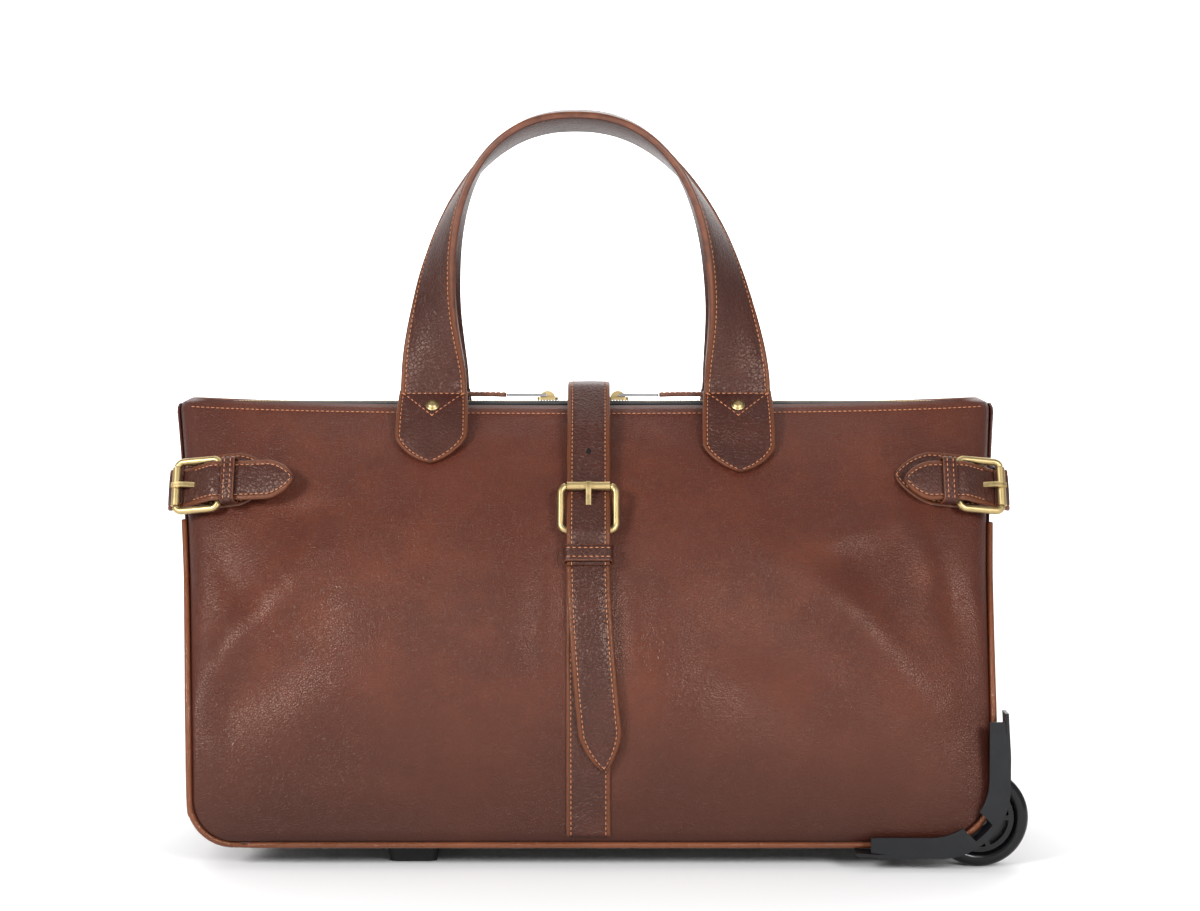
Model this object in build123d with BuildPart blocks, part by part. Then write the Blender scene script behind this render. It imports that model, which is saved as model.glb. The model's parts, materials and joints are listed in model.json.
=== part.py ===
"""Soft leather rolling duffle: two carry handles, zipped top, centre strap, two cinch straps, two wheels, trolley.

Millimetres, +Z up. +X runs to the wheel end, -Y is the front. The origin is on the floor, under the middle of the
whole object's box.
"""
from build123d import *
import math
import os

os.makedirs("parts", exist_ok=True)

# ---------------------------------------------------------------- driving dimensions
overall_half_length = 301.0
overall_half_depth = 130.0

bag_bottom = 19.0
bag_top = 320.0
bag_middle_x = -7.0
left_end_bottom = -277.0
left_end_waist = -281.5
left_end_top = -299.0
right_end_bottom = 276.0
right_end_waist = 275.0
right_end_top = 285.0
waist_height = 160.0
left_corner_radius = 30.0
right_corner_radius = 45.0
top_corner_radius = 9.0
base_half_depth = 121.0
mouth_half_depth_middle = 16.0
mouth_half_depth_end = 13.0
leather = 2.2
lining_thickness = 1.0
floor_height = 71.0
floor_thickness = 3.5

strap_width = 30.0
strap_thickness = 3.2

wheel_radius = 34.3
wheel_width = 22.0
wheel_x = overall_half_length - wheel_radius
wheel_mid_y = 100.5
axle_radius = 4.0
running_gap = 0.05

handle_width = 38.0
handle_foot_width = 48.0
handle_thickness = 5.4
handle_half_spread = 109.0
handle_foot_z = 336.0
handle_curve_power = 2.3
front_handle_rise = 183.0
back_handle_rise = 190.0
handle_hinge_y = 20.0
apex_twist = 102.0
crown_lean = 7.0
handle_shift = 0.5

tube_half_spacing = 55.0
tube_z = 56.0
outer_tube_radius = 8.0
inner_tube_radius = 6.95
tube_wall = 1.0
grip_half_length = 70.0
grip_depth = 17.0
grip_height = 15.0
cup_half_width = 82.0
cup_half_height = 14.0
cup_depth = 46.0
cup_wall = 2.0

foot_x = -127.0
foot_y = 80.0

closure_x = -4.0
cinch_z = 257.5


def export(part, name):
    """Label a finished piece and write its STEP file."""
    part.label = name
    export_step(part, f"parts/{name}.step")


# ---------------------------------------------------------------- the soft body's skin
def half_depth(x, z):
    """Half depth of the leather body: boxy at the base, pinched to the mouth, flatter-sided at the cinched ends."""
    end = min(abs(x - bag_middle_x) / 290.0, 1.05) ** 3
    share = (z - bag_bottom) / (bag_top - bag_bottom)
    mouth = mouth_half_depth_middle + (mouth_half_depth_end - mouth_half_depth_middle) * end
    power = 3.2 - 1.9 * end
    bulge = 5.5 + 2.5 * end
    return base_half_depth - (base_half_depth - mouth) * max(share, 0.0) ** power + bulge * math.sin(math.pi * share)


def skin_slope(x, z):
    """Angle of the skin from the vertical, in degrees."""
    step = 6.0
    return math.degrees(math.atan2(half_depth(x, z - step) - half_depth(x, z + step), 2 * step))


def skin_loft(inset):
    """Loft of cross-sections along X, each half depth reduced by inset."""
    stations = [-306.0, -235.0, -130.0, bag_middle_x, 116.0, 221.0, 292.0]
    rows = [bag_bottom - 6 + (bag_top - bag_bottom + 12) * i / 8 for i in range(9)]
    with BuildPart() as block:
        for station in stations:
            with BuildSketch(Plane.YZ.offset(station)):
                with BuildLine():
                    front = Spline(*[(-half_depth(station, z) + inset, z) for z in rows])
                    back = Spline(*[(half_depth(station, z) - inset, z) for z in rows])
                    Line(front @ 0, back @ 0)
                    Line(front @ 1, back @ 1)
                make_face()
        loft()
    return block.part


def outline_block(inset, bottom=None, top=None):
    """The body's front outline, reduced by inset, as a slab across the whole depth."""
    low = bag_bottom + inset if bottom is None else bottom
    high = bag_top if top is None else top
    with BuildPart() as slab:
        with BuildSketch(Plane.XZ):
            with BuildLine():
                base = Line((left_end_bottom + inset, low), (right_end_bottom - inset, low))
                right = ThreePointArc(
                    base @ 1, (right_end_waist - inset, waist_height), (right_end_top - inset, high)
                )
                left = ThreePointArc(
                    base @ 0, (left_end_waist + inset, waist_height), (left_end_top + inset, high)
                )
                Line(right @ 1, left @ 1)
            make_face()
            fillet(vertices().group_by(Axis.Y)[0].sort_by(Axis.X)[0], left_corner_radius - inset)
            fillet(vertices().group_by(Axis.Y)[0].sort_by(Axis.X)[-1], right_corner_radius - inset)
            if top is None:
                fillet(vertices().group_by(Axis.Y)[-1], top_corner_radius)
        extrude(amount=180, both=True)
    return slab.part


def wheel_well_cutters(margin):
    """Two drums round the wheels that the body pieces are cut back from."""
    with BuildPart() as drums:
        for side in (-1, 1):
            well_inner = wheel_mid_y - wheel_width / 2 - 6.5 - margin
            with BuildSketch(Plane.XZ.offset(-side * well_inner)):
                with Locations((wheel_x, wheel_radius)):
                    Circle(wheel_radius + 6.5 + margin)
            extrude(amount=-side * 60)
    return drums.part


outer_skin = skin_loft(0)
inner_skin = skin_loft(leather)
outline = outline_block(0)

with BuildPart() as front_panel:
    add(outer_skin)
    add(inner_skin, mode=Mode.SUBTRACT)
    add(outline, mode=Mode.INTERSECT)
    split(bisect_by=Plane.XZ, keep=Keep.TOP)
export(front_panel.part, "front_panel")

with BuildPart() as back_panel:
    add(outer_skin)
    add(inner_skin, mode=Mode.SUBTRACT)
    add(outline, mode=Mode.INTERSECT)
    split(bisect_by=Plane.XZ, keep=Keep.BOTTOM)
export(back_panel.part, "back_panel")

# ---------------------------------------------------------------- gussets and base between the panels
wells = wheel_well_cutters(0.3)
gusset_skin = skin_loft(leather + 0.3)
left_seam_x = left_end_bottom + left_corner_radius + 12
right_seam_x = right_end_bottom - right_corner_radius - 8

with BuildPart() as gusset_band:
    add(outline)
    add(outline_block(leather, top=bag_top + 5), mode=Mode.SUBTRACT)
    add(gusset_skin, mode=Mode.INTERSECT)
    with BuildSketch(Plane.XY.offset(bag_top - 4)):
        Rectangle(700, 300)
    extrude(amount=20, mode=Mode.SUBTRACT)

with BuildPart() as left_gusset:
    add(gusset_band.part)
    split(bisect_by=Plane.YZ.offset(left_seam_x), keep=Keep.BOTTOM)
    with BuildSketch(Plane.YZ.offset(left_end_bottom - 20)):
        with Locations((0, tube_z)):
            Rectangle(2 * cup_half_width + 0.6, 2 * cup_half_height + 0.6)
    extrude(amount=60, mode=Mode.SUBTRACT)
export(left_gusset.part, "left_gusset")

with BuildPart() as right_gusset:
    add(gusset_band.part)
    split(bisect_by=Plane.YZ.offset(right_seam_x), keep=Keep.TOP)
    add(wells, mode=Mode.SUBTRACT)
export(right_gusset.part, "right_gusset")

with BuildPart() as base_panel:
    add(gusset_band.part)
    split(bisect_by=Plane.YZ.offset(left_seam_x), keep=Keep.TOP)
    split(bisect_by=Plane.YZ.offset(right_seam_x), keep=Keep.BOTTOM)
    with Locations((foot_x, foot_y, bag_bottom), (foot_x, -foot_y, bag_bottom)):
        Cylinder(2.4, 12, mode=Mode.SUBTRACT)
export(base_panel.part, "base_panel")

# ---------------------------------------------------------------- piping along the two seams
piping_radius = 2.3
piping_stand = 2.7


def piping_path_points(side):
    """Corner points of the welt: down the left end, under the base and up the right end, just outside the outline."""
    low = bag_bottom - piping_stand
    heights = (236.0, 195.0, 140.0)
    left_x = (-288.3, -284.4, -280.6)
    right_x = (278.4, 276.3, 275.0)
    left = [(x - piping_stand, side * (half_depth(x, z) - 1.5), z) for x, z in zip(left_x, heights)]
    right = [(x + piping_stand, side * (half_depth(x, z) - 1.5), z) for x, z in zip(right_x, heights)]
    seam_y = side * (base_half_depth - 1.5)
    corners = [
        (left_end_bottom - piping_stand - 0.6, seam_y, 70.0),
        (left_end_bottom - piping_stand, seam_y, low),
        (right_end_bottom + piping_stand, seam_y, low),
        (right_end_bottom + piping_stand, seam_y, 85.0),
    ]
    return left + corners + right[::-1]


for side, name in ((-1, "piping_front"), (1, "piping_back")):
    with BuildPart() as piping:
        with BuildLine() as welt_path:
            FilletPolyline(*piping_path_points(side), radius=[60, 60, 40, 32, 47, 40, 60, 60])
        with BuildSketch(Plane(origin=welt_path.line @ 0, z_dir=welt_path.line % 0)):
            Circle(piping_radius)
        sweep()
    export(piping.part, name)

# ---------------------------------------------------------------- lining and false floor
with BuildPart() as lining:
    add(skin_loft(leather + 1.4))
    add(outline_block(leather + 1.4, bottom=floor_height + floor_thickness + 0.3, top=bag_top - 4), mode=Mode.INTERSECT)
    with BuildPart(mode=Mode.PRIVATE) as lining_space:
        add(skin_loft(leather + 1.4 + lining_thickness))
        add(
            outline_block(
                leather + 1.4 + lining_thickness,
                bottom=floor_height + floor_thickness + 0.3 + lining_thickness,
                top=bag_top + 6,
            ),
            mode=Mode.INTERSECT,
        )
    add(lining_space.part, mode=Mode.SUBTRACT)
export(lining.part, "lining")

floor_left = left_end_bottom + cup_depth + 6
floor_right = wheel_x - wheel_radius - 9
rail_y = 96.0
with BuildPart() as floor_tray:
    with BuildSketch(Plane.XY.offset(floor_height)):
        with Locations(((floor_left + floor_right) / 2, 0)):
            Rectangle(floor_right - floor_left, 2 * 112.0)
        fillet(vertices(), 18)
    extrude(amount=floor_thickness)
    rail_length = floor_right - floor_left - 40
    with BuildSketch(Plane.XY.offset(bag_bottom + leather + 0.2)):
        with Locations(((floor_left + floor_right) / 2, rail_y), ((floor_left + floor_right) / 2, -rail_y)):
            Rectangle(rail_length, 3.0)
    extrude(until=Until.NEXT)
export(floor_tray.part, "floor_tray")

# ---------------------------------------------------------------- zip
tape_z = bag_top - 2.4
chain_half_width = 3.0
chain_height = 2.6
zip_left = left_end_top + 8
zip_right = right_end_top - 8
left_slider_x = -34.0
right_slider_x = 17.0
slider_length = 15.0

with BuildPart() as zip_tapes:
    with BuildSketch(Plane.XY.offset(tape_z)):
        for side in (-1, 1):
            with Locations(((zip_left + zip_right) / 2, side * (chain_half_width + 0.1 + 3.6))):
                Rectangle(zip_right - zip_left, 7.2)
    extrude(amount=1.0)
export(zip_tapes.part, "zip_tapes")

with BuildPart() as zip_teeth:
    with BuildSketch(Plane.XY.offset(tape_z - 0.8)):
        with Locations(((zip_left + zip_right) / 2, 0)):
            Rectangle(zip_right - zip_left, 2 * chain_half_width)
    extrude(amount=chain_height)
    chamfer(edges().filter_by(Axis.X).group_by(Axis.Z)[-1], 0.8)
export(zip_teeth.part, "zip_teeth")


def make_zip_slider(centre_x, outward, prefix):
    """Slider saddle over the chain, its flat pull and the leather tab on the pull, lying outward along the zip."""
    chain_top = tape_z - 0.8 + chain_height
    body_low = chain_top + 0.35
    with BuildPart() as slider:
        with BuildSketch(Plane.XY.offset(body_low)):
            with Locations((centre_x, 0)):
                RectangleRounded(slider_length, 11.0, 3.0)
        extrude(amount=2.0)
        with BuildSketch(Plane.XZ.offset(-1.8)):
            with BuildLine():
                low = Polyline(
                    (centre_x - outward * 5.5, body_low + 2.0),
                    (centre_x + outward * 5.5, body_low + 2.0),
                )
                ThreePointArc(low @ 0, (centre_x, body_low + 6.6), low @ 1)
            make_face()
        extrude(amount=3.6)
        with Locations((centre_x + outward * 1.5, 0, body_low + 3.6)):
            Cylinder(1.05, 12, rotation=(90, 0, 0), mode=Mode.SUBTRACT)
    export(slider.part, prefix + "slider" + ("_left" if outward < 0 else "_right"))

    ring_x = centre_x + outward * 1.5
    ring_z = body_low + 3.6
    rod_start = ring_x + outward * 8.0
    rod_end = rod_start + outward * 20.0
    with BuildPart() as pull:
        with Locations((ring_x, 0, ring_z)):
            Cylinder(0.9, 8.4, rotation=(90, 0, 0))
        with BuildSketch(Plane.XY.offset(ring_z - 0.9)):
            with Locations((ring_x + outward * 4.4, 3.2), (ring_x + outward * 4.4, -3.2)):
                Rectangle(8.8, 1.8)
            with Locations(((rod_start + rod_end) / 2, 0)):
                RectangleRounded(20.0, 8.2, 2.0)
        extrude(amount=1.8)
        with BuildSketch(Plane.XY.offset(ring_z - 0.9)):
            with Locations((rod_end - outward * 3.4, 0)):
                RectangleRounded(3.4, 4.6, 1.2)
        extrude(amount=1.8, mode=Mode.SUBTRACT)
    export(pull.part, prefix + "pull" + ("_left" if outward < 0 else "_right"))

    tab_length = 46.0
    tab_start = rod_end + outward * 0.5
    with BuildPart() as tab:
        with BuildSketch(Plane.XY.offset(ring_z - 1.4)):
            with Locations((tab_start + outward * tab_length / 2, 0)):
                RectangleRounded(tab_length, 12.0, 5.0)
        extrude(amount=2.8)
    export(tab.part, prefix + "tab" + ("_left" if outward < 0 else "_right"))


make_zip_slider(left_slider_x, -1, "zip_")
make_zip_slider(right_slider_x, 1, "zip_")


# ---------------------------------------------------------------- carry handles
def handle_frame(angle, side, rise):
    """Plane across the handle strap at an angle round its arch, 0 at the crown and 90 degrees at a leg's foot."""
    turn = math.radians(angle)
    reach = abs(math.sin(turn)) ** (2 / handle_curve_power)
    height = max(math.cos(turn), 0.0) ** (2 / handle_curve_power)
    lean = -crown_lean * height
    centre = Vector(
        bag_middle_x + handle_shift + lean + math.copysign(handle_half_spread * reach, angle),
        side * (handle_hinge_y + crown_lean * height),
        handle_foot_z + rise * height,
    )
    return centre, height


def handle_sections(side, rise):
    """Stations along the arch with the strap turning from facing outward at the feet to facing up at the crown."""
    angles = [-90 + 180 * i / 20 for i in range(21)]
    points = [handle_frame(angle, side, rise) for angle in angles]
    planes = []
    for i, (centre, height) in enumerate(points):
        before = points[max(i - 1, 0)][0]
        after = points[min(i + 1, len(points) - 1)][0]
        along = (after - before).normalized()
        if i in (0, len(points) - 1):
            along = Vector(0, 0, 1 if i == 0 else -1)
        outward = Vector(-along.Z, 0, along.X).normalized()
        twist = math.radians(apex_twist * (1 - (1 - height) ** 1.3))
        face = Vector(0, side, 0) * math.cos(twist) + outward * math.sin(twist)
        across = along.cross(face).normalized()
        width = handle_width + (handle_foot_width - handle_width) * (1 - min(height / 0.3, 1)) ** 1.5
        planes.append((Plane(origin=centre, x_dir=across, z_dir=along), width))
    return planes


for side, rise, name in ((-1, front_handle_rise, "handle_front"), (1, back_handle_rise, "handle_back")):
    with BuildPart() as handle:
        for plane, width in handle_sections(side, rise):
            with BuildSketch(plane):
                Rectangle(width, handle_thickness)
        loft()
    export(handle.part, name)

handle_leg_x = (
    bag_middle_x + handle_shift - handle_half_spread,
    bag_middle_x + handle_shift + handle_half_spread,
)
patch_width = 51.0
patch_thickness = 4.6
patch_clearance = 1.6


def patch_plane(x, side):
    """Plane lying on the sloping panel under a handle foot, local y pointing up the panel."""
    middle_z = 300.0
    slope = math.radians(skin_slope(x, middle_z))
    normal = Vector(0, side * math.cos(slope), math.sin(slope))
    depth = half_depth(x, middle_z) + patch_clearance / math.cos(slope)
    origin = Vector(x, side * depth, middle_z)
    return Plane(origin=origin, x_dir=(-side, 0, 0), z_dir=normal)


patch_half_length = 25.0
for side, name in ((-1, "handle_feet_front"), (1, "handle_feet_back")):
    with BuildPart() as feet_pair:
        for leg_x in handle_leg_x:
            with BuildSketch(patch_plane(leg_x, side)):
                with BuildLine():
                    top = Line((-patch_width / 2 + 2, patch_half_length), (patch_width / 2 - 2, patch_half_length))
                    right_edge = Line(top @ 1, (patch_width / 2, -6))
                    left_edge = Line(top @ 0, (-patch_width / 2, -6))
                    tip = (0, -patch_half_length - 3)
                    ThreePointArc(right_edge @ 1, (patch_width * 0.36, -19), tip)
                    ThreePointArc(left_edge @ 1, (-patch_width * 0.36, -19), tip)
                make_face()
            extrude(amount=patch_thickness)
    export(feet_pair.part, name)

with BuildPart() as handle_rivets:
    for side in (-1, 1):
        for leg_x in handle_leg_x:
            with BuildSketch(patch_plane(leg_x, side).offset(patch_thickness)):
                with Locations((0, 5)):
                    Circle(4.6)
            extrude(amount=1.9, taper=25)
export(handle_rivets.part, "handle_rivets")


# ---------------------------------------------------------------- straps made as ribbons
def ribbon_face(points, thickness):
    """Face of a flat ribbon seen edge-on: a smooth run through the points, with the thickness set about it."""
    outer = []
    inner = []
    for i, (a, b) in enumerate(points):
        before = points[max(i - 1, 0)]
        after = points[min(i + 1, len(points) - 1)]
        run = math.hypot(after[0] - before[0], after[1] - before[1])
        normal = ((before[1] - after[1]) / run, (after[0] - before[0]) / run)
        outer.append((a + normal[0] * thickness / 2, b + normal[1] * thickness / 2))
        inner.append((a - normal[0] * thickness / 2, b - normal[1] * thickness / 2))
    with BuildLine() as edge_on:
        one = Spline(*outer)
        two = Spline(*inner)
        Line(one @ 0, two @ 0)
        Line(one @ 1, two @ 1)
    make_face(edge_on.edges())


def front_stand(z, stand):
    """Point in front of the panel on the closure line, stand away from the leather."""
    slope = math.radians(skin_slope(closure_x, z))
    return (-half_depth(closure_x, z) - stand / math.cos(slope), z)


buckle_low = 233.0
buckle_high = 263.0
keeper_z = 217.0
tail_top = keeper_z - 8.5
tail_tip = 70.0
base_strap_thickness = 2.0
keeper_wall = 1.5
keeper_slack = 1.4
base_strap_top = 286.0
tail_stand = 4.5
tail_gap = 2.6

with BuildPart() as closure_base_strap:
    with BuildSketch(Plane.YZ.offset(closure_x - strap_width / 2)):
        heights = [24.0 + (base_strap_top - 24.0) * i / 8 for i in range(9)]
        ribbon_face([front_stand(z, 0.4 + base_strap_thickness / 2) for z in heights], base_strap_thickness)
    extrude(amount=strap_width)
export(closure_base_strap.part, "closure_base_strap")

pivot_stand = 6.2
roller_stand = 12.4
strap_under_roller = 6.6
strap_over_pivot = 11.4
over_top = 331.5
back_heights = (296.0, 262.0, 210.0, 150.0, 90.0, 28.0)

with BuildPart() as closure_strap:
    with BuildSketch(Plane.YZ.offset(closure_x - strap_width / 2)):
        front_run = [
            front_stand(tail_top + tail_gap, 6.4),
            front_stand(buckle_low - 7, 9.6),
            front_stand(buckle_low, strap_over_pivot),
            front_stand(buckle_high, strap_under_roller),
            front_stand(288.0, 7.6),
            front_stand(305.0, 9.0),
        ]
        crown = [(-17.0, over_top - 3.0), (0.0, over_top), (17.0, over_top - 3.0)]
        back_run = [(half_depth(closure_x, z) + 2.6 + (3.4 if z > 280 else 0.0), z) for z in back_heights]
        ribbon_face(front_run + crown + back_run, strap_thickness)
    extrude(amount=strap_width)
    with BuildSketch(Plane.XZ):
        with Locations((closure_x, (buckle_low + buckle_high) / 2)):
            SlotOverall(17.0, 4.8, rotation=90)
    extrude(amount=200, mode=Mode.SUBTRACT)
export(closure_strap.part, "closure_strap")

with BuildPart() as closure_tail:
    with BuildSketch(Plane.YZ.offset(closure_x - strap_width / 2)):
        heights = [tail_top - (tail_top - tail_tip) * i / 5 for i in range(6)]
        ribbon_face([front_stand(z, tail_stand) for z in heights], strap_thickness)
    extrude(amount=strap_width)
    tip_reach = strap_width * 0.62
    with BuildSketch(Plane.XZ):
        with BuildLine():
            Polyline(
                (closure_x - strap_width, tail_tip - 20),
                (closure_x + strap_width, tail_tip - 20),
                (closure_x + strap_width, tail_tip + tip_reach * 1.9),
                (closure_x, tail_tip),
                (closure_x - strap_width, tail_tip + tip_reach * 1.9),
                close=True,
            )
        make_face()
    extrude(amount=200, mode=Mode.SUBTRACT)
export(closure_tail.part, "closure_tail")


def line_plane(z_low, stand_low, z_high, stand_high):
    """Plane through two stood-off points on the closure line, local y up and z outward, centred between them."""
    low = front_stand(z_low, stand_low)
    high = front_stand(z_high, stand_high)
    up = Vector(0, high[0] - low[0], high[1] - low[1]).normalized()
    origin = Vector(closure_x, (low[0] + high[0]) / 2, (low[1] + high[1]) / 2)
    return Plane(origin=origin, x_dir=(1, 0, 0), z_dir=Vector(1, 0, 0).cross(up))


def make_keeper(plane, length, inner_width, inner_height, name):
    """Leather loop the tail passes through: a flat ring round the strap in the plane's local x and z."""
    wall = keeper_wall
    with BuildPart() as keeper:
        section = Plane(origin=plane.origin, x_dir=plane.x_dir, z_dir=plane.y_dir)
        with BuildSketch(section.offset(-length / 2)):
            RectangleRounded(inner_width + 2 * wall, inner_height + 2 * wall, 2.4)
            RectangleRounded(inner_width, inner_height, 1.4, mode=Mode.SUBTRACT)
        extrude(amount=length)
    export(keeper.part, name)


keeper_plane = line_plane(keeper_z - 5, 7.2, keeper_z + 5, 8.6)
make_keeper(keeper_plane, 12.0, strap_width + keeper_slack, 5.6, "closure_keeper")

# ---------------------------------------------------------------- roller buckles
bar = 5.2
roller_radius = 3.1
roller_pin_radius = 1.6
prong_thickness = 2.2
prong_half_width = 1.8
prong_ring_radius = 2.9
pivot_radius = 1.9


def make_buckle(plane, span, width, prefix):
    """Roller buckle. Local y runs from the pivot bar to the roller bar, x along the bars, z away from the bag."""
    half_span = span / 2
    half_width = width / 2
    roller_half = half_width - bar - 1.6
    with BuildPart() as frame:
        for end in (-1, 1):
            with BuildSketch(plane.offset(-bar / 2)):
                with Locations((end * (half_width - bar / 2), 0)):
                    RectangleRounded(bar, span + bar, bar / 2 - 0.05)
            extrude(amount=bar)
        fillet(frame.edges().group_by(SortBy.LENGTH)[-1], 1.4)
        pivot_line = Plane(origin=plane.origin - plane.y_dir * half_span, x_dir=plane.y_dir, z_dir=plane.x_dir)
        with BuildSketch(pivot_line.offset(-half_width + bar / 2)):
            Circle(pivot_radius)
        extrude(amount=width - bar)
        roller_line = Plane(origin=plane.origin + plane.y_dir * half_span, x_dir=plane.y_dir, z_dir=plane.x_dir)
        with BuildSketch(roller_line.offset(-half_width + bar / 2)):
            Circle(roller_pin_radius)
        extrude(amount=width - bar)
        for end in (-1, 1):
            with BuildSketch(roller_line.offset(end * (roller_half + 0.3))):
                Circle(bar / 2 + 0.1)
            extrude(amount=end * (half_width - bar / 2 - roller_half - 0.3))
    export(frame.part, prefix + "_buckle_frame")

    with BuildPart() as roller:
        with BuildSketch(roller_line.offset(-roller_half)):
            Circle(roller_radius)
            Circle(roller_pin_radius + running_gap, mode=Mode.SUBTRACT)
        extrude(amount=2 * roller_half)
    export(roller.part, prefix + "_buckle_roller")

    side_plane = Plane(origin=plane.origin, x_dir=plane.y_dir, z_dir=plane.x_dir)
    with BuildPart() as prong:
        with BuildSketch(side_plane.offset(-prong_half_width)):
            with Locations((-half_span, 0)):
                Circle(prong_ring_radius)
            with BuildLine():
                spine = [
                    (-half_span + 2.4, -0.4),
                    (-half_span + 6.5, -1.5),
                    (-half_span + 10.5, -1.7),
                    (half_span - 11.5, 1.9),
                    (half_span - 3.5, roller_radius + 1.5),
                    (half_span + 2.2, roller_radius + 1.0),
                ]
                outer = Spline(*[(a, b - prong_thickness / 2) for a, b in spine])
                inner = Spline(*[(a, b + prong_thickness / 2) for a, b in spine])
                Line(outer @ 0, inner @ 0)
                Line(outer @ 1, inner @ 1)
            make_face()
            with Locations((-half_span, 0)):
                Circle(pivot_radius + running_gap, mode=Mode.SUBTRACT)
        extrude(amount=2 * prong_half_width)
    export(prong.part, prefix + "_buckle_prong")


closure_plane = line_plane(buckle_low, pivot_stand, buckle_high, roller_stand)
buckle_span = 32.0
buckle_width = 43.5
make_buckle(closure_plane, buckle_span, buckle_width, "closure")

# ---------------------------------------------------------------- wheels and corner housings
wheel_z = wheel_radius


def wheel_axis_plane(y):
    """Plane across a wheel's axle at height y, facing the front."""
    return Plane(origin=(wheel_x, y, wheel_z), x_dir=(1, 0, 0), z_dir=(0, -1, 0))


for side, name in ((-1, "front"), (1, "back")):
    middle = side * wheel_mid_y
    with BuildPart() as tyre:
        with BuildSketch(Plane.XY.offset(wheel_z)):
            with Locations((wheel_x + (24.0 + wheel_radius) / 2, middle)):
                RectangleRounded(wheel_radius - 24.0, wheel_width, 4.6)
        revolve(axis=Axis((wheel_x, middle, wheel_z), (0, 1, 0)))
    export(tyre.part, f"wheel_tyre_{name}")

    with BuildPart() as hub:
        with BuildSketch(wheel_axis_plane(middle + wheel_width / 2 - 1.5)):
            Circle(23.95)
            Circle(8.0, mode=Mode.SUBTRACT)
        extrude(amount=wheel_width - 3.0)
        for face_y, direction in ((middle + wheel_width / 2 - 1.5, 1), (middle - wheel_width / 2 + 1.5, -1)):
            with BuildSketch(wheel_axis_plane(face_y)):
                Circle(20.5)
                Circle(11.0, mode=Mode.SUBTRACT)
                with PolarLocations(15.75, 5):
                    Rectangle(12.0, 3.4, mode=Mode.SUBTRACT)
            extrude(amount=direction * 6.0, mode=Mode.SUBTRACT)
    export(hub.part, f"wheel_hub_{name}")

    with BuildPart() as bush:
        with BuildSketch(wheel_axis_plane(middle + wheel_width / 2 - 1.0)):
            Circle(8.0)
            Circle(axle_radius + running_gap, mode=Mode.SUBTRACT)
        extrude(amount=wheel_width - 2.0)
    export(bush.part, f"wheel_bush_{name}")

cheek_thickness = 3.0
outer_cheek_y = wheel_mid_y + wheel_width / 2 + 0.8
inner_cheek_y = wheel_mid_y - wheel_width / 2 - 0.8

with BuildPart() as wheel_axles:
    for side in (-1, 1):
        with BuildSketch(wheel_axis_plane(side * (outer_cheek_y + cheek_thickness))):
            Circle(axle_radius)
        extrude(amount=side * (outer_cheek_y + cheek_thickness - inner_cheek_y + cheek_thickness))
        with BuildSketch(wheel_axis_plane(side * (outer_cheek_y + cheek_thickness))):
            Circle(4.9)
        extrude(amount=-side * 1.2, taper=30)
        with BuildSketch(wheel_axis_plane(side * (inner_cheek_y - cheek_thickness))):
            Circle(6.6)
        extrude(amount=side * 1.6, taper=30)
export(wheel_axles.part, "wheel_axles")

guard_inner = 5.0
guard_outer = 9.6
guard_wall = 2.2
guard_left_x = 190.0
guard_top_z = 104.0
flange_thickness = 3.0
flange_slant = 4.5
wall_slant = 1.8
slant_length = 30.0
slant_radius = 30.0


def corner_line(away, x_from, z_to, slant, radius):
    """Line round the lower right corner, a distance outside the outline, drawn in by slant towards its two ends."""
    low = bag_bottom - away
    right = right_end_bottom + away
    if slant == 0:
        return FilletPolyline((x_from, low), (right, low), (right, z_to), radius=radius)
    return FilletPolyline(
        (x_from, low + slant),
        (x_from + slant_length, low),
        (right, low),
        (right, z_to - slant_length),
        (right - slant, z_to),
        radius=[slant_radius, radius, slant_radius],
    )


def corner_band(inner, outer, x_from, z_to, inner_slant, outer_slant):
    """Band following the lower right corner of the outline, from inner (inside it) to outer (outside it)."""
    with BuildLine() as band:
        one = corner_line(outer, x_from, z_to, outer_slant, right_corner_radius + outer - 6)
        two = corner_line(-inner, x_from, z_to, inner_slant, right_corner_radius - inner)
        Line(one @ 0, two @ 0)
        Line(one @ 1, two @ 1)
    make_face(band.edges())


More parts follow.
